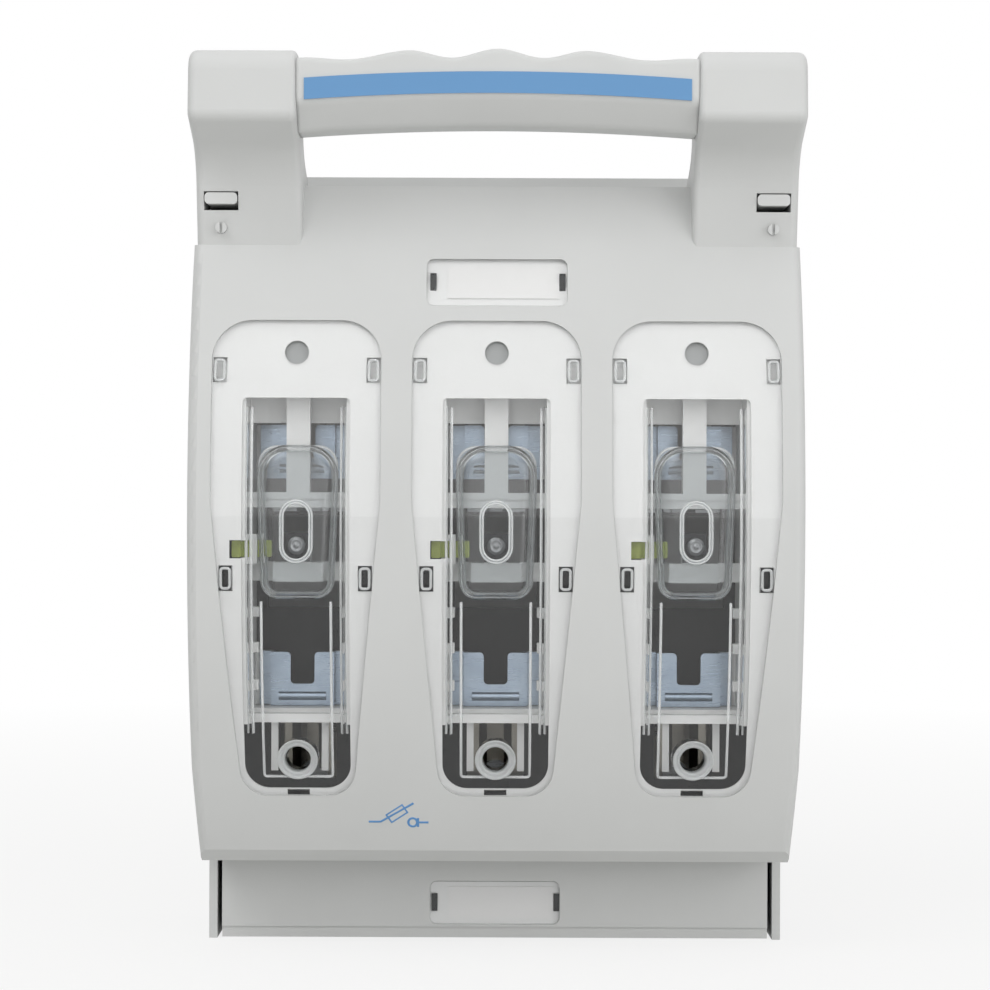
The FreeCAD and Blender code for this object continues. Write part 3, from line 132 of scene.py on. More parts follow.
class Grain(Enum):
    """How a moulded surface was made, as the size of its grain and its depth in millimetres."""

    SPARK_ERODED = (0.9, 0.035)
    FINE = (0.6, 0.012)
    SMOOTH = (6.0, 0.010)


@dataclass(frozen=True)
class MouldedPlastic:
    """An opaque moulding: a broad soft highlight, broken up by the mould's grain.

    The real spark-eroded grain is about 0.2 mm, too fine for the render, so it is drawn coarser.
    """

    name: str
    colour: str
    roughness: float
    grain: Grain
    mottle: float = 0.03
    mottle_size: float = 28 * MM
    ior: float = 1.5
    rough_spread: float = 0.06
    relief: float = 0.5

    def material(self) -> bpy.types.Material:
        """Builds the material from the finish's values."""
        material, tree, place = blank_material(self.name)
        size, depth = self.grain.value
        grain = add_node(
            tree, "ShaderNodeTexNoise", {"Vector": place, "Scale": 1 / (size * MM), "Detail": 3.0}
        )
        cloud = add_node(
            tree, "ShaderNodeTexNoise", {"Vector": place, "Scale": 1 / self.mottle_size, "Detail": 2.0}
        )
        shade = add_node(
            tree, "ShaderNodeMapRange",
            {"Value": cloud.outputs["Fac"], "To Min": 1 - self.mottle, "To Max": 1 + self.mottle},
        )
        colour = add_node(
            tree, "ShaderNodeMix",
            {"Factor": 1.0, 6: linear(self.colour), 7: shade.outputs["Result"]},
            data_type="RGBA", blend_type="MULTIPLY",
        )
        rough = add_node(
            tree, "ShaderNodeMapRange",
            {"Value": grain.outputs["Fac"],
             "To Min": self.roughness - self.rough_spread, "To Max": self.roughness + self.rough_spread},
        )
        bump = add_node(
            tree, "ShaderNodeBump",
            {"Strength": self.relief, "Distance": depth * MM, "Height": grain.outputs["Fac"]},
        )
        surface = add_node(
            tree, "ShaderNodeBsdfPrincipled",
            {"Base Color": colour.outputs[2], "Roughness": rough.outputs["Result"],
             "Normal": bump.outputs["Normal"], "IOR": self.ior},
        )
        finish_with(tree, surface.outputs["BSDF"])
        return material


@dataclass(frozen=True)
class PlatedMetal:
    """A plated metal: clear reflections with the drawn grain of the sheet or bar under the plating."""

    name: str
    colour: str
    tint: str
    roughness: float
    grain_length: float = 9 * MM
    grain_width: float = 0.35 * MM
    cloud_size: float = 7 * MM
    rough_spread: float = 0.1
    relief: float = 0.3
    relief_depth: float = 0.01 * MM

    def material(self) -> bpy.types.Material:
        """Builds the material from the finish's values."""
        material, tree, place = blank_material(self.name)
        stretch = (1 / self.grain_length, 1 / self.grain_width, 1 / self.grain_width)
        mapped = add_node(tree, "ShaderNodeMapping", {"Vector": place, "Scale": stretch})
        streaks = add_node(
            tree, "ShaderNodeTexNoise", {"Vector": mapped.outputs["Vector"], "Scale": 1.0, "Detail": 2.0}
        )
        cloud = add_node(
            tree, "ShaderNodeTexNoise", {"Vector": place, "Scale": 1 / self.cloud_size, "Detail": 2.0}
        )
        colour = add_node(
            tree, "ShaderNodeMix",
            {"Factor": cloud.outputs["Fac"], 6: linear(self.colour), 7: linear(self.tint)},
            data_type="RGBA",
        )
        rough = add_node(
            tree, "ShaderNodeMapRange",
            {"Value": streaks.outputs["Fac"],
             "To Min": self.roughness - self.rough_spread, "To Max": self.roughness + self.rough_spread},
        )
        bump = add_node(
            tree, "ShaderNodeBump",
            {"Strength": self.relief, "Distance": self.relief_depth, "Height": streaks.outputs["Fac"]},
        )
        surface = add_node(
            tree, "ShaderNodeBsdfPrincipled",
            {"Base Color": colour.outputs[2], "Metallic": 1.0, "Roughness": rough.outputs["Result"],
             "Normal": bump.outputs["Normal"]},
        )
        finish_with(tree, surface.outputs["BSDF"])
        return material


@dataclass(frozen=True)
class ClearPlastic:
    """A polished clear moulding: sharp highlights on a surface that is never quite flat.

    The index is set below polycarbonate's real 1.58, since the all-white surround mirrors too strongly in it.
    """

    name: str
    colour: str
    roughness: float = 0.03
    clearness: float = 1.0
    ior: float = 1.42
    wave_size: float = 14 * MM
    wave_depth: float = 0.03 * MM
    relief: float = 0.4

    def material(self) -> bpy.types.Material:
        """Builds the material, which lets lamplight through to what is behind it."""
        material, tree, place = blank_material(self.name)
        waves = add_node(
            tree, "ShaderNodeTexNoise", {"Vector": place, "Scale": 1 / self.wave_size, "Detail": 0.0}
        )
        bump = add_node(
            tree, "ShaderNodeBump",
            {"Strength": self.relief, "Distance": self.wave_depth, "Height": waves.outputs["Fac"]},
        )
        surface = add_node(
            tree, "ShaderNodeBsdfPrincipled",
            {"Base Color": linear(self.colour), "Roughness": self.roughness, "IOR": self.ior,
             "Transmission Weight": self.clearness, "Normal": bump.outputs["Normal"]},
        )
        clear = add_node(tree, "ShaderNodeBsdfTransparent", {"Color": linear(self.colour)})
        ray = add_node(tree, "ShaderNodeLightPath")
        mixed = add_node(
            tree, "ShaderNodeMixShader",
            {0: ray.outputs["Is Shadow Ray"], 1: surface.outputs["BSDF"], 2: clear.outputs["BSDF"]},
        )
        finish_with(tree, mixed.outputs["Shader"])
        return material


FINISHES = {
    # Glass-filled polyester, spark-eroded mould: pale grey, quite matt
    "housing_grey": MouldedPlastic("glass_filled_polyester", "D0D1D0", 0.52, Grain.SPARK_ERODED),
    # Polyamide, smooth mould: a little whiter and softer than the housing
    "pale_plastic": MouldedPlastic("pale_polyamide", "D4D5D4", 0.42, Grain.FINE),
    # Thermoset, matt mould: near black, drawn darker still as painted shade for the dim inside of the base,
    # with a dry highlight
    "dark_plastic": MouldedPlastic("dark_thermoset_and_painted_shade", "252628", 0.6, Grain.FINE, 0.08),
    # Polyamide, smooth mould: mid grey
    "shutter_grey": MouldedPlastic("grey_polyamide", "A6A8A8", 0.5, Grain.FINE),
    # Polycarbonate, polished mould
    "clear_plastic": ClearPlastic("clear_polycarbonate", "FFFFFF"),
    # Polycarbonate with a faint smoke tint, polished mould: the caps of the fuse grips
    "tinted_clear": ClearPlastic("smoked_polycarbonate", "E6E9EA", wave_depth=0.12 * MM),
    # Polycarbonate at a rib's rounded edge, which gathers light: less clear than the flat wall
    "clear_edge": ClearPlastic("polycarbonate_edge", "F2F4F4", 0.12, 0.6),
    # Polycarbonate, left satin where the probe slides in
    "satin_clear": ClearPlastic("satin_polycarbonate", "E4E6E6", 0.3, 0.45),
    # Polyester film, printed blue: even and slightly glossy
    "blue_strip": MouldedPlastic("printed_polyester_film", "6093C3", 0.35, Grain.SMOOTH, 0.01),
    # Printing ink on the lid, dried matt: nearly the strip's blue
    "printing_ink": MouldedPlastic("blue_printing_ink", "5B8FC4", 0.5, Grain.SMOOTH, 0.01),
    # Card, uncoated: a matt white, drawn grey since the window over it adds light
    "label_card": MouldedPlastic("uncoated_card", "D2D2D1", 0.75, Grain.FINE, 0.01),
    # Polyamide, polished mould: yellow-green
    "yellow_green": MouldedPlastic("yellow_green_polyamide", "A3B04C", 0.35, Grain.SMOOTH),
    # Sheet steel, zinc-plated and blue-passivated: a cool tint with faint clouds
    "zinc_sheet": PlatedMetal("blue_passivated_zinc", "7E8C9C", "A0ACB8", 0.3),
    # Steel, bright zinc-plated
    "zinc_steel": PlatedMetal("bright_zinc", "A5AAAE", "BDBFC0", 0.3),
    # Steel, turned: drawn a dark grey, with a soft highlight
    "turned_steel": PlatedMetal("dark_grey_turned_steel", "76797B", "8A8C8D", 0.4),
    # Spring steel, plain
    "spring_steel": PlatedMetal("spring_steel", "8E9196", "A0A3A6", 0.28),
    # Copper, silver-plated: drawn a darker warm grey than the plate, as painted shade for the contacts deep
    # inside the base
    "silver_plated_copper": PlatedMetal("silver_plate", "8F8B82", "A8A49A", 0.35),
}

# The record's slot for each finish that isn't a slot of its own
SLOT_OF = {
    "tinted_clear": "clear_plastic",
    "clear_edge": "clear_plastic",
    "satin_clear": "clear_plastic",
    "printing_ink": "blue_strip",
    "turned_steel": "zinc_steel",
}


@dataclass
class Wardrobe:
    """The materials of the part by the name of their finish, each made once."""

    made: dict[str, bpy.types.Material] = field(default_factory=dict)

    def get(self, finish: str) -> bpy.types.Material:
        """Gives the material of a finish, and makes it when it is first asked for."""
        if finish not in self.made:
            self.made[finish] = FINISHES[finish].material()
        return self.made[finish]

    def dress(self, piece: bpy.types.Object, finish: str) -> None:
        """Gives the whole of a piece one material."""
        for place in piece.material_slots:
            place.material = self.get(finish)
        if not piece.material_slots:
            piece.data.materials.append(self.get(finish))

    def dress_frame(self) -> None:
        """Dresses every node of the frame in its record's slot, and the grips' caps in their tint."""
        for part in frame["record"]["subparts"]:
            self.dress(frame["nodes"][part["node"]], part["material_slot"])
            LOG.info("dressed %s in %s", part["node"], part["material_slot"])
        for pole in POLE_PLACES:
            self.dress(frame["nodes"][f"fuse_grip_{pole}"], "tinted_clear")


@dataclass(frozen=True)
class LidFace:
    """The barrel curve of the lid's front."""

    radius: float = 210 * MM
    reach: float = 105 * MM
    middle: float = 13.5 * MM
    step: float = 6 * MM

    def y(self, height: float, depth: float = 0.0) -> float:
        """Gives the place of the face, or of a layer behind it, at a height."""
        rise = height - self.middle
        return self.radius - self.reach - math.sqrt((self.radius - depth) ** 2 - rise ** 2)

    def point(self, x: float, height: float, depth: float) -> Vector:
        """Gives a point of the layer at a depth behind the face."""
        return Vector((x, self.y(height, depth), height))

    def upright(self, x: float, low: float, high: float, depth: float) -> list[Vector]:
        """Follows the face up or down, along a line across its curve.

        Args:
            x: The line's place across the poles.
            low: The height that it starts at.
            high: The height that it ends at.
            depth: How far behind the face it lies.

        Returns:
            The line's points, about a step apart.
        """
        count = max(2, round(abs(high - low) / self.step))
        return [self.point(x, low + (high - low) * n / count, depth) for n in range(count + 1)]


FACE = LidFace()

# Place beside the pole's middle and height of the tabs that clip a cover to its window
UPPER_TAB = (22.9 * MM, 57 * MM)
LOWER_TAB = (20.7 * MM, -5 * MM)


def wire(paths: list[Path]) -> bpy.types.Mesh:
    """Makes a mesh of edges alone, for a recipe to start from.

    Args:
        paths: The paths. One of a single point gives that point.

    Returns:
        The mesh.
    """
    points, edges = [], []
    for path, closed in paths:
        first, last = len(points), len(points) + len(path) - 1
        points += path
        edges += [(number, number + 1) for number in range(first, last)]
        if closed:
            edges.append((last, first))
    mesh = bpy.data.meshes.new("path")
    mesh.from_pydata(points, edges, [])
    return mesh


def face_outwards(mesh: bpy.types.Mesh) -> None:
    """Closes a mesh's seams and turns its faces outwards."""
    shape = bmesh.new()
    shape.from_mesh(mesh)
    bmesh.ops.remove_doubles(shape, verts=shape.verts, dist=0.001 * MM)
    bmesh.ops.recalc_face_normals(shape, faces=shape.faces)
    shape.to_mesh(mesh)
    shape.free()


def skin(name: str, rings: list[list[Vector]], looped: bool) -> bpy.types.Mesh:
    """Skins a row of rings, each closed on itself and with as many points.

    Args:
        name: The mesh's name.
        rings: The rings' points.
        looped: Whether the last ring joins the first. If not, both ends are capped.

    Returns:
        The mesh, smooth and faced outwards.
    """
    count, total = len(rings[0]), len(rings)
    faces = []
    for station in range(total if looped else total - 1):
        here, there = station * count, (station + 1) % total * count
        for number in range(count):
            after = (number + 1) % count
            faces.append((here + number, here + after, there + after, there + number))
    if not looped:
        faces += [tuple(range(count)), tuple(range((total - 1) * count, total * count))]
    mesh = bpy.data.meshes.new(name)
    mesh.from_pydata([point for ring in rings for point in ring], [], faces)
    mesh.shade_smooth()
    face_outwards(mesh)
    return mesh


def turned(profile: Profile, x: float, height: float, follow: bool) -> bpy.types.Mesh:
    """Turns a profile about an axis along Y.

    Args:
        profile: Radius and place along Y of each point, in millimetres.
        x: The axis's place across the poles.
        height: The axis's height.
        follow: Whether the places along Y start from the lid's face, not from the mounting plane.

    Returns:
        The mesh, faced outwards.
    """
    steps = 48
    rings = []
    for step in range(steps):
        angle = math.tau * step / steps
        ring = []
        for radius, place in profile:
            z = height + radius * MM * math.sin(angle)
            y = FACE.y(z) + place * MM if follow else place * MM
            ring.append(Vector((x + radius * MM * math.cos(angle), y, z)))
        rings.append(ring)
    return skin("turned", rings, looped=True)


@dataclass
class Recipe:
    """A Geometry Nodes tree with named inputs, whose result is baked to a plain mesh."""

    tree: bpy.types.NodeTree

    @classmethod
    def start(cls, name: str, sizes: tuple[str, ...]) -> "Recipe":
        """Starts a tree that takes a mesh, sizes and a finish, and gives a mesh.

        Args:
            name: The tree's name.
            sizes: The names of its sizes, all lengths.

        Returns:
            The recipe, with its sockets and its first node.
        """
        tree = bpy.data.node_groups.new(name, "GeometryNodeTree")
        tree.interface.new_socket("Geometry", in_out="INPUT", socket_type="NodeSocketGeometry")
        for size in sizes:
            tree.interface.new_socket(size, in_out="INPUT", socket_type="NodeSocketFloat")
        tree.interface.new_socket("Finish", in_out="INPUT", socket_type="NodeSocketMaterial")
        tree.interface.new_socket("Geometry", in_out="OUTPUT", socket_type="NodeSocketGeometry")
        add_node(tree, "NodeGroupInput")
        return cls(tree)

    def taken(self, name: str) -> bpy.types.NodeSocket:
        """Gives the socket inside the tree that carries one of its inputs."""
        return self.tree.nodes["Group Input"].outputs[name]

    def end(self, shape: bpy.types.NodeSocket) -> None:
        """Ends the tree with plain geometry in its finish."""
        plain = add_node(self.tree, "GeometryNodeRealizeInstances", {"Geometry": shape})
        dressed = add_node(
            self.tree, "GeometryNodeSetMaterial",
            {"Geometry": plain.outputs["Geometry"], "Material": self.taken("Finish")},
        )
        add_node(self.tree, "NodeGroupOutput", {0: dressed.outputs["Geometry"]})

    def bake(
        self, name: str, source: bpy.types.Mesh, values: dict[str, object], soft_edge: float = 0.0
    ) -> bpy.types.Object:
        """Runs the tree on a mesh and keeps the result as a plain mesh.

        Args:
            name: The new piece's name.
            source: The mesh that the tree starts from.
            values: The tree's sizes and finish, by name.
            soft_edge: How far sharp edges are bevelled, or 0.

        Returns:
            The new piece, at the origin, with no modifier on it.
        """
        piece = bpy.data.objects.new(name, source)
        bpy.context.scene.collection.objects.link(piece)
        modifier = piece.modifiers.new("recipe", "NODES")
        modifier.node_group = self.tree
        for item in self.tree.interface.items_tree:
            if item.in_out == "INPUT" and item.name in values:
                modifier[item.identifier] = values[item.name]
        if soft_edge:
            bevel = piece.modifiers.new("soft_edge", "BEVEL")
            bevel.width = soft_edge
            bevel.segments = 2
        baked = bpy.data.meshes.new_from_object(piece.evaluated_get(bpy.context.evaluated_depsgraph_get()))
        piece.modifiers.clear()
        piece.data = baked
        face_outwards(baked)
        return piece


def bead_recipe() -> Recipe:
    """Makes the tree that runs a round bead along each path of a mesh of edges."""
    recipe = Recipe.start("bead", ("Radius", "Corner"))
    tree = recipe.tree
    line = add_node(tree, "GeometryNodeMeshToCurve", {"Mesh": recipe.taken("Geometry")})
    bent = add_node(
        tree, "GeometryNodeFilletCurve",
        {"Curve": line.outputs["Curve"], "Count": 8, "Radius": recipe.taken("Corner"), "Limit Radius": True},
        mode="POLY",
    )
    section = add_node(
        tree, "GeometryNodeCurvePrimitiveCircle", {"Resolution": 10, "Radius": recipe.taken("Radius")}
    )
    bead = add_node(
        tree, "GeometryNodeCurveToMesh",
        {"Curve": bent.outputs["Curve"], "Profile Curve": section.outputs["Curve"], "Fill Caps": True},
    )
    recipe.end(bead.outputs["Mesh"])
    return recipe


def block_recipe() -> Recipe:
    """Makes the tree that puts a like block at each point of a mesh."""
    recipe = Recipe.start("blocks", ("Width", "Depth", "Height"))
    tree = recipe.tree
    size = add_node(
        tree, "ShaderNodeCombineXYZ",
        {"X": recipe.taken("Width"), "Y": recipe.taken("Depth"), "Z": recipe.taken("Height")},
    )
    block = add_node(tree, "GeometryNodeMeshCube", {"Size": size.outputs["Vector"]})
    placed = add_node(
        tree, "GeometryNodeInstanceOnPoints",
        {"Points": recipe.taken("Geometry"), "Instance": block.outputs["Mesh"]},
    )
    recipe.end(placed.outputs["Instances"])
    return recipe


@dataclass
class Bench:
    """The finishes and recipes with which every sub-assembly makes and seats its pieces."""

    wardrobe: Wardrobe
    bead: Recipe = field(default_factory=bead_recipe)
    blocks: Recipe = field(default_factory=block_recipe)

    def seat(self, piece: bpy.types.Object, finish: str, body: str = "lid") -> None:
        """Makes a finished piece ride on a body."""
        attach(piece, body)
        SLOT_OF.get(finish, finish)
        LOG.info("%s rides on %s: %d faces", piece.name, body, len(piece.data.polygons))

    def seat_mesh(self, name: str, mesh: bpy.types.Mesh, finish: str) -> bpy.types.Object:
        """Makes a piece of the lid from a finished mesh.

        Args:
            name: The piece's name.
            mesh: Its mesh.
            finish: The name of its finish.

        Returns:
            The piece.
        """
        piece = bpy.data.objects.new(name, mesh)
        bpy.context.scene.collection.objects.link(piece)
        self.wardrobe.dress(piece, finish)
        self.seat(piece, finish)
        return piece

    def seat_beads(self, name: str, paths: list[Path], radius: float, corner: float, finish: str) -> None:
        """Runs round beads along paths, as one piece of the lid.

        Args:
            name: The piece's name.
            paths: The paths of the beads' middles.
            radius: The beads' own radius.
            corner: The radius that the paths' corners get.
            finish: The name of the piece's finish.
        """
        values = {"Radius": radius, "Corner": corner, "Finish": self.wardrobe.get(finish)}
        self.seat(self.bead.bake(name, wire(paths), values), finish)

    def seat_blocks(
        self, name: str, points: list[Vector], size: tuple[float, float, float], soft_edge: float,
        finish: str, body: str = "lid",
    ) -> None:
        """Puts like blocks at points, as one piece.

        Args:
            name: The piece's name.
            points: The blocks' middles.
            size: Their width, depth and height.
            soft_edge: How far their edges are bevelled.
            finish: The name of the piece's finish.
            body: The body that it rides on.
        """
        width, depth, height = size
        values = {"Width": width, "Depth": depth, "Height": height, "Finish": self.wardrobe.get(finish)}
        source = wire([([point], False) for point in points])
        self.seat(self.blocks.bake(name, source, values, soft_edge), finish, body)


@dataclass
class GripBar:
    """The bow of the handle: an arched bar with a sloped lower front and finger scallops on top."""

    bench: Bench
    half: float = 59.05 * MM
    front: float = -114 * MM
    slope: float = -106 * MM
    back: float = -93 * MM
    crest: float = 151.0 * MM
    crest_fall: float = 2.9 * MM
    foot: float = 129.2 * MM
    foot_fall: float = 2.2 * MM
    slope_height: float = 8 * MM
    edge: float = 2 * MM
    dip_pitch: float = 26.5 * MM
    inner_dip: float = 2.5 * MM
    outer_dip: float = 1.7 * MM
    stations: int = 120
    arc_steps: int = 4

    def build(self) -> None:
        """Builds the bar in place of the plain one."""
        places = [-self.half + 2 * self.half * n / self.stations for n in range(self.stations + 1)]
        mesh = skin("grip_bar", [self.section(x) for x in places], looped=False)
        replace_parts(self.bench.seat_mesh("grip_bar", mesh, "housing_grey"), "handle_grip")

    def top(self, x: float) -> float:
        """Gives the height of the bar's top, with its arch and scallops."""
        share = abs(x) / self.half
        if abs(x) < self.dip_pitch:
            dip = self.inner_dip * (1 - math.cos(math.tau * abs(x) / self.dip_pitch)) / 2
        else:
            run = (abs(x) - self.dip_pitch) / (self.half - self.dip_pitch)
            dip = self.outer_dip * (1 - math.cos(math.tau * run)) / 2
        return self.crest - self.crest_fall * share ** 2 - dip

    def section(self, x: float) -> list[Vector]:
        """Gives the bar's outline at a place along it, with rounded corners."""
        low = self.foot - self.foot_fall * (x / self.half) ** 2
        high = self.top(x)
        corners = [
            Vector((self.back, high)), Vector((self.front, high)),
            Vector((self.front, low + self.slope_height)), Vector((self.slope, low)),
            Vector((self.back, low)),
        ]
        outline = []
        for number, corner in enumerate(corners):
            before = (corners[number - 1] - corner).normalized()
            after = (corners[(number + 1) % len(corners)] - corner).normalized()
            start, end = corner + before * self.edge, corner + after * self.edge
            for step in range(self.arc_steps + 1):
                t = step / self.arc_steps
                outline.append(start * (1 - t) ** 2 + corner * 2 * t * (1 - t) + end * t ** 2)
        return [Vector((x, y, z)) for y, z in outline]


@dataclass
class PoleAssembly(ABC):
    """A sub-assembly that is made alike for every pole."""

    bench: Bench

    def build(self) -> None:
        """Builds it for every pole."""
        for pole, x in POLE_PLACES.items():
            self.fit(pole, x)

    @abstractmethod
    def fit(self, pole: str, x: float) -> None:
        """Builds it for the pole of that name, whose middle is at x."""


@dataclass
class CoverEdges(PoleAssembly):
    """The rounded edges of a window cover's ribs, skirt and tabs, which catch the light."""

    rib_places: tuple[float, ...] = (13.4 * MM, 14.9 * MM)
    rib_low: float = -52 * MM
    rib_high: float = 46 * MM
    rib_depth: float = 5 * MM
    skirt_half: float = 10.4 * MM
    skirt_low: float = -65.5 * MM
    skirt_high: float = -12 * MM
    skirt_depth: float = 4 * MM
    tab_half: float = 1.35 * MM
    tab_rise: float = 3.0 * MM
    tab_depth: float = 0.3 * MM
    radius: float = 0.42 * MM
    corner: float = 0.9 * MM

    def fit(self, pole: str, x: float) -> None:
        """Runs a bead along every edge of one cover."""
        paths = []
        for side in (-1, 1):
            for place in self.rib_places:
                rib = FACE.upright(x + side * place, self.rib_low, self.rib_high, self.rib_depth)
                paths.append((rib, False))
            for place, height in (UPPER_TAB, LOWER_TAB):
                paths.append((self.tab_outline(x + side * place, height), True))
        left = FACE.upright(x - self.skirt_half, self.skirt_high, self.skirt_low, self.skirt_depth)
        right = FACE.upright(x + self.skirt_half, self.skirt_low, self.skirt_high, self.skirt_depth)
        paths.append((left + right, False))
        self.bench.seat_beads(f"cover_edges_{pole}", paths, self.radius, self.corner, "clear_edge")

    def tab_outline(self, middle: float, height: float) -> list[Vector]:
        """Gives the corners of a tab's end about its middle."""
        half, rise = self.tab_half, self.tab_rise
        corners = ((-half, -rise), (half, -rise), (half, rise), (-half, rise))
        return [FACE.point(middle + x, height + z, self.tab_depth) for x, z in corners]


@dataclass
class FuseGripFittings(PoleAssembly):
    """What the fuse grips have beside their clear caps: rounded rims and lips, dark pads that paint shade
    into the slots, and studs.
    """

    rim_y: float = -92.7 * MM
    rim_half: float = 11.7 * MM
    rim_foot_half: float = 10.4 * MM
    rim_low: float = -10.9 * MM
    rim_shoulder: float = 21.5 * MM
    rim_high: float = 34.3 * MM
    rim_corner: float = 5.5 * MM
    rim_radius: float = 0.42 * MM
    lip_halves: tuple[float, ...] = (4.75 * MM, 4.0 * MM)
    lip_y: float = -100.1 * MM
    lip_low: float = -0.3 * MM
    lip_high: float = 18.2 * MM
    lip_radius: float = 0.36 * MM
    # What a lip's corners stay under half its width, so that the two arcs of an end don't meet
    lip_flat: float = 0.02 * MM
    # A dark pad behind the stud: painted shade for the inside of the slot
    shade_pad_y: float = -92.4 * MM
    shade_pad_height: float = 4.2 * MM
    shade_pad_size: tuple[float, float, float] = (7.4 * MM, 0.6 * MM, 8.9 * MM)
    shade_pad_edge: float = 0.15 * MM
    stud_height: float = 4.7 * MM
    # From the dimple in the head over its two steps to the foot
    stud_profile: Profile = (
        (0.0, -98.95), (0.5, -98.9), (0.75, -98.5), (1.3, -98.45), (1.5, -98.8), (1.85, -98.8), (2.05, -98.4),
        (2.4, -98.35), (2.65, -98.1), (2.7, -96.5), (1.5, -96.4), (1.5, -92.0), (0.0, -92.0),
    )

    def build(self) -> None:
        """Builds what every pole has, and then the studs, as one piece."""
        super().build()
        self.turn_studs()

    def fit(self, pole: str, x: float) -> None:
        """Makes the rim, the lips and the dark pad of painted shade of one grip."""
        self.make_rim(pole, x)
        self.make_lips(pole, x)
        pad = Vector((x, self.shade_pad_y, self.shade_pad_height))
        self.bench.seat_blocks(f"stud_shade_pad_{pole}", [pad], self.shade_pad_size, self.shade_pad_edge, "dark_plastic")

    def make_rim(self, pole: str, x: float) -> None:
        """Rounds the rim at the back of the cap."""
        half, foot = self.rim_half, self.rim_foot_half
        corners = (
            (-foot, self.rim_low), (foot, self.rim_low), (half, self.rim_shoulder),
            (half, self.rim_high), (-half, self.rim_high), (-half, self.rim_shoulder),
        )
        rim = [Vector((x + place, self.rim_y, height)) for place, height in corners]
        self.bench.seat_beads(
            f"cap_rim_{pole}", [(rim, True)], self.rim_radius, self.rim_corner, "clear_edge"
        )

    def make_lips(self, pole: str, x: float) -> None:
        """Rounds both lips of the raised track round the slot, with half-round ends."""
        for number, half in enumerate(self.lip_halves, start=1):
            inset = self.lip_halves[0] - half
            low, high = self.lip_low + inset, self.lip_high - inset
            corners = ((-half, low), (half, low), (half, high), (-half, high))
            lip = [Vector((x + place, self.lip_y, height)) for place, height in corners]
            name, corner = f"track_lip_{number}_{pole}", half - self.lip_flat
            self.bench.seat_beads(name, [(lip, True)], self.lip_radius, corner, "clear_edge")

    def turn_studs(self) -> None:
        """Turns the studs with their stepped heads, in place of the plain ones."""
        joined = bmesh.new()
        for x in POLE_PLACES.values():
            joined.from_mesh(turned(self.stud_profile, x, self.stud_height, follow=False))
        mesh = bpy.data.meshes.new("turned_studs")
        joined.to_mesh(mesh)
        joined.free()
        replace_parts(self.bench.seat_mesh("turned_studs", mesh, "turned_steel"), "grip_studs")


@dataclass
class CarrierFittings(PoleAssembly):
    """The stops on a carrier's rails, and the pockets that take the cover's upper tabs."""

    stop_place: float = 13.8 * MM
    stop_y: float = -82 * MM
    stop_heights: tuple[float, ...] = (-15.8 * MM, -26.6 * MM, -38 * MM)
    stop_size: tuple[float, float, float] = (2.6 * MM, 2.6 * MM, 3.2 * MM)
    stop_edge: float = 0.3 * MM
    pocket_depth: float = 5.6 * MM
    pocket_size: tuple[float, float, float] = (4.6 * MM, 0.8 * MM, 8.2 * MM)
    pocket_edge: float = 0.2 * MM

    def fit(self, pole: str, x: float) -> None:
        """Makes the stops and the pockets of one carrier."""
        rails = (x - self.stop_place, x + self.stop_place)
        stops = [Vector((rail, self.stop_y, height)) for rail in rails for height in self.stop_heights]
        self.bench.seat_blocks(f"rail_stops_{pole}", stops, self.stop_size, self.stop_edge, "pale_plastic")
        place, height = UPPER_TAB
        pockets = [FACE.point(middle, height, self.pocket_depth) for middle in (x - place, x + place)]
        self.bench.seat_blocks(
            f"tab_pockets_{pole}", pockets, self.pocket_size, self.pocket_edge, "pale_plastic"
        )


@dataclass
class ProbeCollars(PoleAssembly):
    """The satin collar round the mouth of each cover's probe tube."""

    height: float = -60 * MM
    # From the bore over the inner and the outer ridge to the outside
    profile: Profile = (
        (3.9, 6.0), (3.9, 1.6), (4.2, 0.5), (4.6, 0.2), (4.9, 0.6), (5.3, 0.5),
        (5.6, -0.25), (5.9, -0.4), (6.15, -0.2), (6.2, 0.3), (5.6, 1.5), (4.6, 6.0),
    )

    def fit(self, pole: str, x: float) -> None:
        """Turns one collar, which leans with the lid's face."""
        mesh = turned(self.profile, x, self.height, follow=True)
        self.bench.seat_mesh(f"probe_collar_{pole}", mesh, "satin_clear")


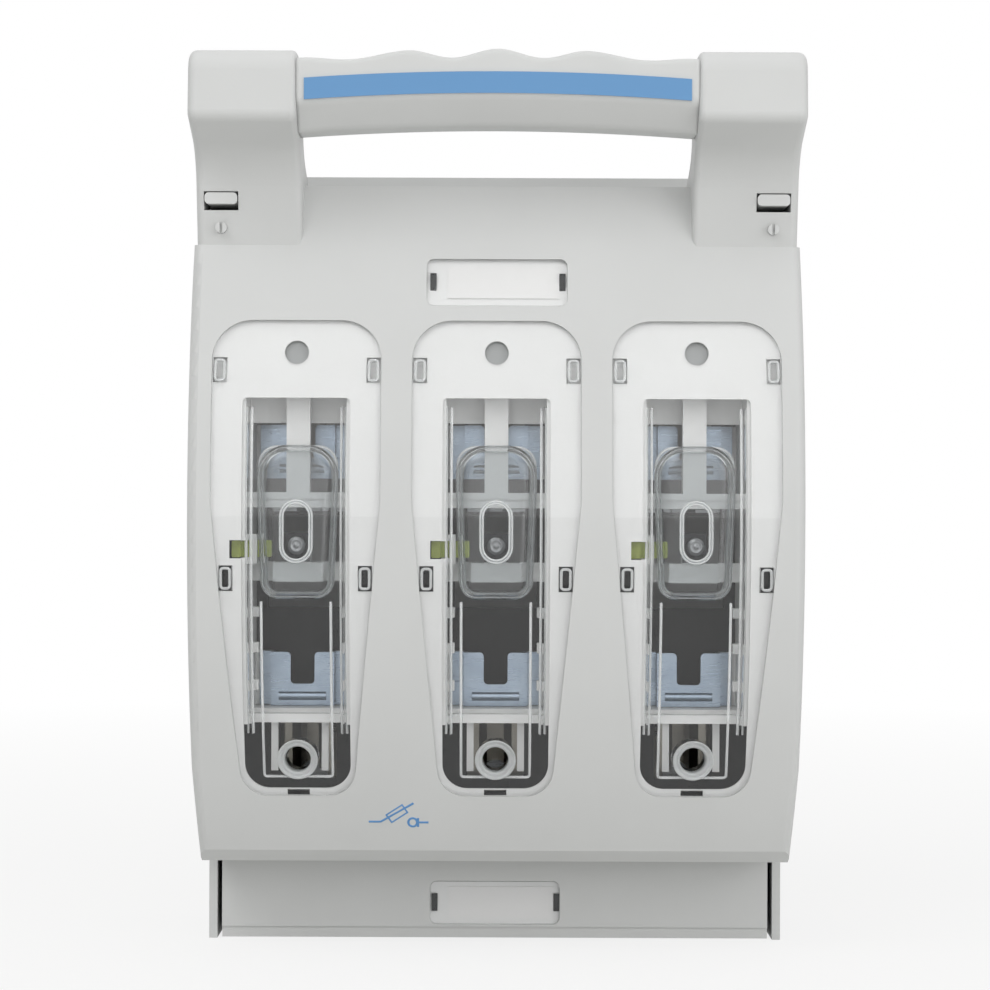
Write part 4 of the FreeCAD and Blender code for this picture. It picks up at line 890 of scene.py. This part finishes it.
@dataclass
class SchematicPrint:
    """The plain sign for a fuse switch in blue ink, low on the lid."""

    bench: Bench
    line_radius: float = 0.5 * MM
    sunk: float = 0.34 * MM
    # Places across the poles and heights in millimetres
    blade: Profile = ((-38.5, -79.6), (-34.9, -79.6), (-24.8, -73.6))
    contact: Profile = ((-23.5, -78.4), (-23.5, -81.2))
    lead_out: Profile = ((-23.3, -79.8), (-20.3, -79.8))
    fuse_middle: tuple[float, float] = (-29.9 * MM, -77.0 * MM)
    fuse_length: float = 5.8 * MM
    fuse_width: float = 2.9 * MM
    fuse_angle: float = math.radians(34)
    ring_middle: tuple[float, float] = (-25.1 * MM, -79.8 * MM)
    ring_radius: float = 1.35 * MM
    ring_steps: int = 24

    def build(self) -> None:
        """Draws the sign's lines as ink just proud of the lid."""
        paths = [(self.on_lid(line), False) for line in (self.blade, self.contact, self.lead_out)]
        paths += [(self.fuse_outline(), True), (self.ring_outline(), True)]
        self.bench.seat_beads("schematic_print", paths, self.line_radius, 0.0, "printing_ink")

    def on_lid(self, places: Profile) -> list[Vector]:
        """Puts a line's places just under the lid's face."""
        return [FACE.point(x * MM, z * MM, self.sunk) for x, z in places]

    def fuse_outline(self) -> list[Vector]:
        """Gives the corners of the fuse's box, which leans along the switch blade."""
        x, z = self.fuse_middle
        along = Vector((math.cos(self.fuse_angle), math.sin(self.fuse_angle))) * self.fuse_length / 2
        across = Vector((-math.sin(self.fuse_angle), math.cos(self.fuse_angle))) * self.fuse_width / 2
        corners = (-along - across, along - across, along + across, across - along)
        return [FACE.point(x + corner.x, z + corner.y, self.sunk) for corner in corners]

    def ring_outline(self) -> list[Vector]:
        """Gives the circle of the switch's contact."""
        x, z = self.ring_middle
        turn = [math.tau * step / self.ring_steps for step in range(self.ring_steps)]
        radius = self.ring_radius
        return [FACE.point(x + radius * math.cos(a), z + radius * math.sin(a), self.sunk) for a in turn]


@dataclass
class LabelSlots:
    """Dark blocks at both ends of the two label windows: painted shade standing in for the slots' openings.
    """

    bench: Bench
    places: tuple[float, ...] = (-19.2 * MM, 19.7 * MM)
    size: tuple[float, float, float] = (1.9 * MM, 0.4 * MM, 5.6 * MM)
    edge: float = 0.1 * MM
    lid_height: float = 84 * MM
    lid_depth: float = 1.1 * MM
    lower_height: float = -110 * MM
    lower_y: float = -46.7 * MM

    def build(self) -> None:
        """Builds the dark blocks of painted shade for the slots of the lid's label and of the lower terminal
        cover's.
        """
        self.make_pair("lid_label_slot_shade", FACE.y(self.lid_height, self.lid_depth), self.lid_height, "lid")
        self.make_pair("lower_label_slot_shade", self.lower_y, self.lower_height, "base")

    def make_pair(self, name: str, y: float, height: float, body: str) -> None:
        """Builds the two dark blocks, painted shade, for the slots of a label.

        Args:
            name: The piece's name.
            y: The depth that the slots lie at.
            height: The label's height.
            body: The body that carries the label.
        """
        points = [Vector((x, y, height)) for x in self.places]
        self.bench.seat_blocks(name, points, self.size, self.edge, "dark_plastic", body)


@dataclass(frozen=True)
class Lamp:
    """A square lamp: where it stands, how wide it is and its power in watts."""

    name: str
    place: tuple[float, float, float]
    width: float
    power: float


@dataclass
class Studio:
    """A pale floor, a white surround, soft lamps and the camera at the photograph's place."""

    camera_place: tuple[float, float, float] = (-0.0004, -0.855, 0.020)
    focal_pixels: float = 2531
    picture_width: float = 990
    sensor: float = 36
    roll: float = math.radians(0.22)
    floor_height: float = -121.5 * MM
    floor_reach: float = 6.0
    aim: tuple[float, float, float] = (0, -0.08, 0.0)
    lamps: tuple[Lamp, ...] = (
        Lamp("key", (-0.85, -1.0, 1.3), 1.1, 7.0),
        Lamp("front", (0.0, -1.4, 0.74), 1.7, 6.3),
        Lamp("fill", (1.25, -1.2, 0.3), 1.1, 7.2),
        Lamp("top", (0.1, 0.1, 1.5), 1.0, 2.6),
    )
    # The surround's strength for all that isn't seen, from below and from above
    ground_light: float = 0.15
    sky_light: float = 0.54
    floor_colour: str = "E2E2E0"
    # How white the floor shows under the part, and how far from it the floor is all white
    floor_white: float = 0.75
    floor_fade: float = 0.9

    def build(self) -> None:
        """Makes the camera, the lamps, the surround and the floor."""
        self.make_camera()
        self.make_lamps()
        self.make_surround()
        self.make_floor()
        bpy.context.scene.view_settings.view_transform = "Standard"

    def make_camera(self) -> None:
        """Places the camera level in front of the lid, with the photograph's slight roll."""
        data = bpy.data.cameras.new("camera")
        data.sensor_width = self.sensor
        data.lens = self.focal_pixels / self.picture_width * self.sensor
        camera = bpy.data.objects.new("camera", data)
        upright = Matrix.Rotation(math.pi / 2, 4, "X") @ Matrix.Rotation(self.roll, 4, "Z")
        camera.matrix_world = Matrix.Translation(Vector(self.camera_place)) @ upright
        bpy.context.scene.collection.objects.link(camera)
        bpy.context.scene.camera = camera

    def make_lamps(self) -> None:
        """Adds the lamps, all aimed at the lid."""
        for lamp in self.lamps:
            data = bpy.data.lights.new(lamp.name, "AREA")
            data.size = lamp.width
            data.energy = lamp.power
            stand = bpy.data.objects.new(lamp.name, data)
            stand.location = lamp.place
            stand.rotation_euler = (Vector(self.aim) - Vector(lamp.place)).to_track_quat("-Z", "Y").to_euler()
            bpy.context.scene.collection.objects.link(stand)

    def make_surround(self) -> None:
        """Makes the world white to the eye, and a plain soft light to everything else."""
        world = bpy.data.worlds.new("surround")
        world.use_nodes = True
        tree = world.node_tree
        tree.nodes.clear()
        seen = self.seen_directly(tree)
        place = add_node(tree, "ShaderNodeTexCoord").outputs["Generated"]
        height = add_node(tree, "ShaderNodeSeparateXYZ", {"Vector": place}).outputs["Z"]
        dome = add_node(
            tree, "ShaderNodeMapRange",
            {"Value": height, "From Min": -0.3, "From Max": 0.7,
             "To Min": self.ground_light, "To Max": self.sky_light},
        )
        strength = add_node(
            tree, "ShaderNodeMix", {"Factor": seen, "A": dome.outputs["Result"], "B": 1.0}, data_type="FLOAT"
        )
        glow = add_node(
            tree, "ShaderNodeBackground", {"Color": (1, 1, 1, 1), "Strength": strength.outputs["Result"]}
        )
        add_node(tree, "ShaderNodeOutputWorld", {"Surface": glow.outputs["Background"]})
        bpy.context.scene.world = world

    @staticmethod
    def seen_directly(tree: bpy.types.NodeTree) -> bpy.types.NodeSocket:
        """Adds the test for what is seen directly, in a reflection or through glass.

        Args:
            tree: The node tree that gets the test.

        Returns:
            A socket that is 1 for such rays.
        """
        ray = add_node(tree, "ShaderNodeLightPath")
        either = add_node(
            tree, "ShaderNodeMath", {0: ray.outputs["Is Camera Ray"], 1: ray.outputs["Is Glossy Ray"]},
            operation="MAXIMUM",
        )
        any_of = add_node(
            tree, "ShaderNodeMath", {0: either.outputs["Value"], 1: ray.outputs["Is Transmission Ray"]},
            operation="MAXIMUM",
        )
        return any_of.outputs["Value"]

    def make_floor(self) -> None:
        """Lays the floor under the part: white to the eye, apart from a faint shadow."""
        mesh = bpy.data.meshes.new("floor")
        reach, height = self.floor_reach, self.floor_height
        corners = ((-reach, -reach), (reach, -reach), (reach, reach), (-reach, reach))
        mesh.from_pydata([(x, y, height) for x, y in corners], [], [(0, 1, 2, 3)])
        floor = bpy.data.objects.new("floor", mesh)
        bpy.context.scene.collection.objects.link(floor)
        material, tree, place = blank_material("painted_floor")
        matt = add_node(tree, "ShaderNodeBsdfDiffuse", {"Color": linear(self.floor_colour)})
        white = add_node(tree, "ShaderNodeEmission", {"Color": (1, 1, 1, 1), "Strength": 1.0})
        far = add_node(tree, "ShaderNodeVectorMath", {0: place}, operation="LENGTH").outputs["Value"]
        fade = add_node(
            tree, "ShaderNodeMapRange",
            {"Value": far, "From Max": self.floor_fade, "To Min": self.floor_white},
        )
        share = add_node(
            tree, "ShaderNodeMath", {0: self.seen_directly(tree), 1: fade.outputs["Result"]},
            operation="MULTIPLY",
        )
        mixed = add_node(
            tree, "ShaderNodeMixShader",
            {0: share.outputs["Value"], 1: matt.outputs["BSDF"], 2: white.outputs["Emission"]},
        )
        finish_with(tree, mixed.outputs["Shader"])
        mesh.materials.append(material)


def main() -> None:
    """Dresses the frame, adds the pieces of its own and sets up the studio."""
    logging.basicConfig(level=logging.INFO)
    wardrobe = Wardrobe()
    wardrobe.dress_frame()
    bench = Bench(wardrobe)
    for assembly in (
        GripBar, CoverEdges, FuseGripFittings, CarrierFittings, ProbeCollars, SchematicPrint, LabelSlots,
    ):
        assembly(bench).build()
    Studio().build()


if __name__ == "__main__":
    main()
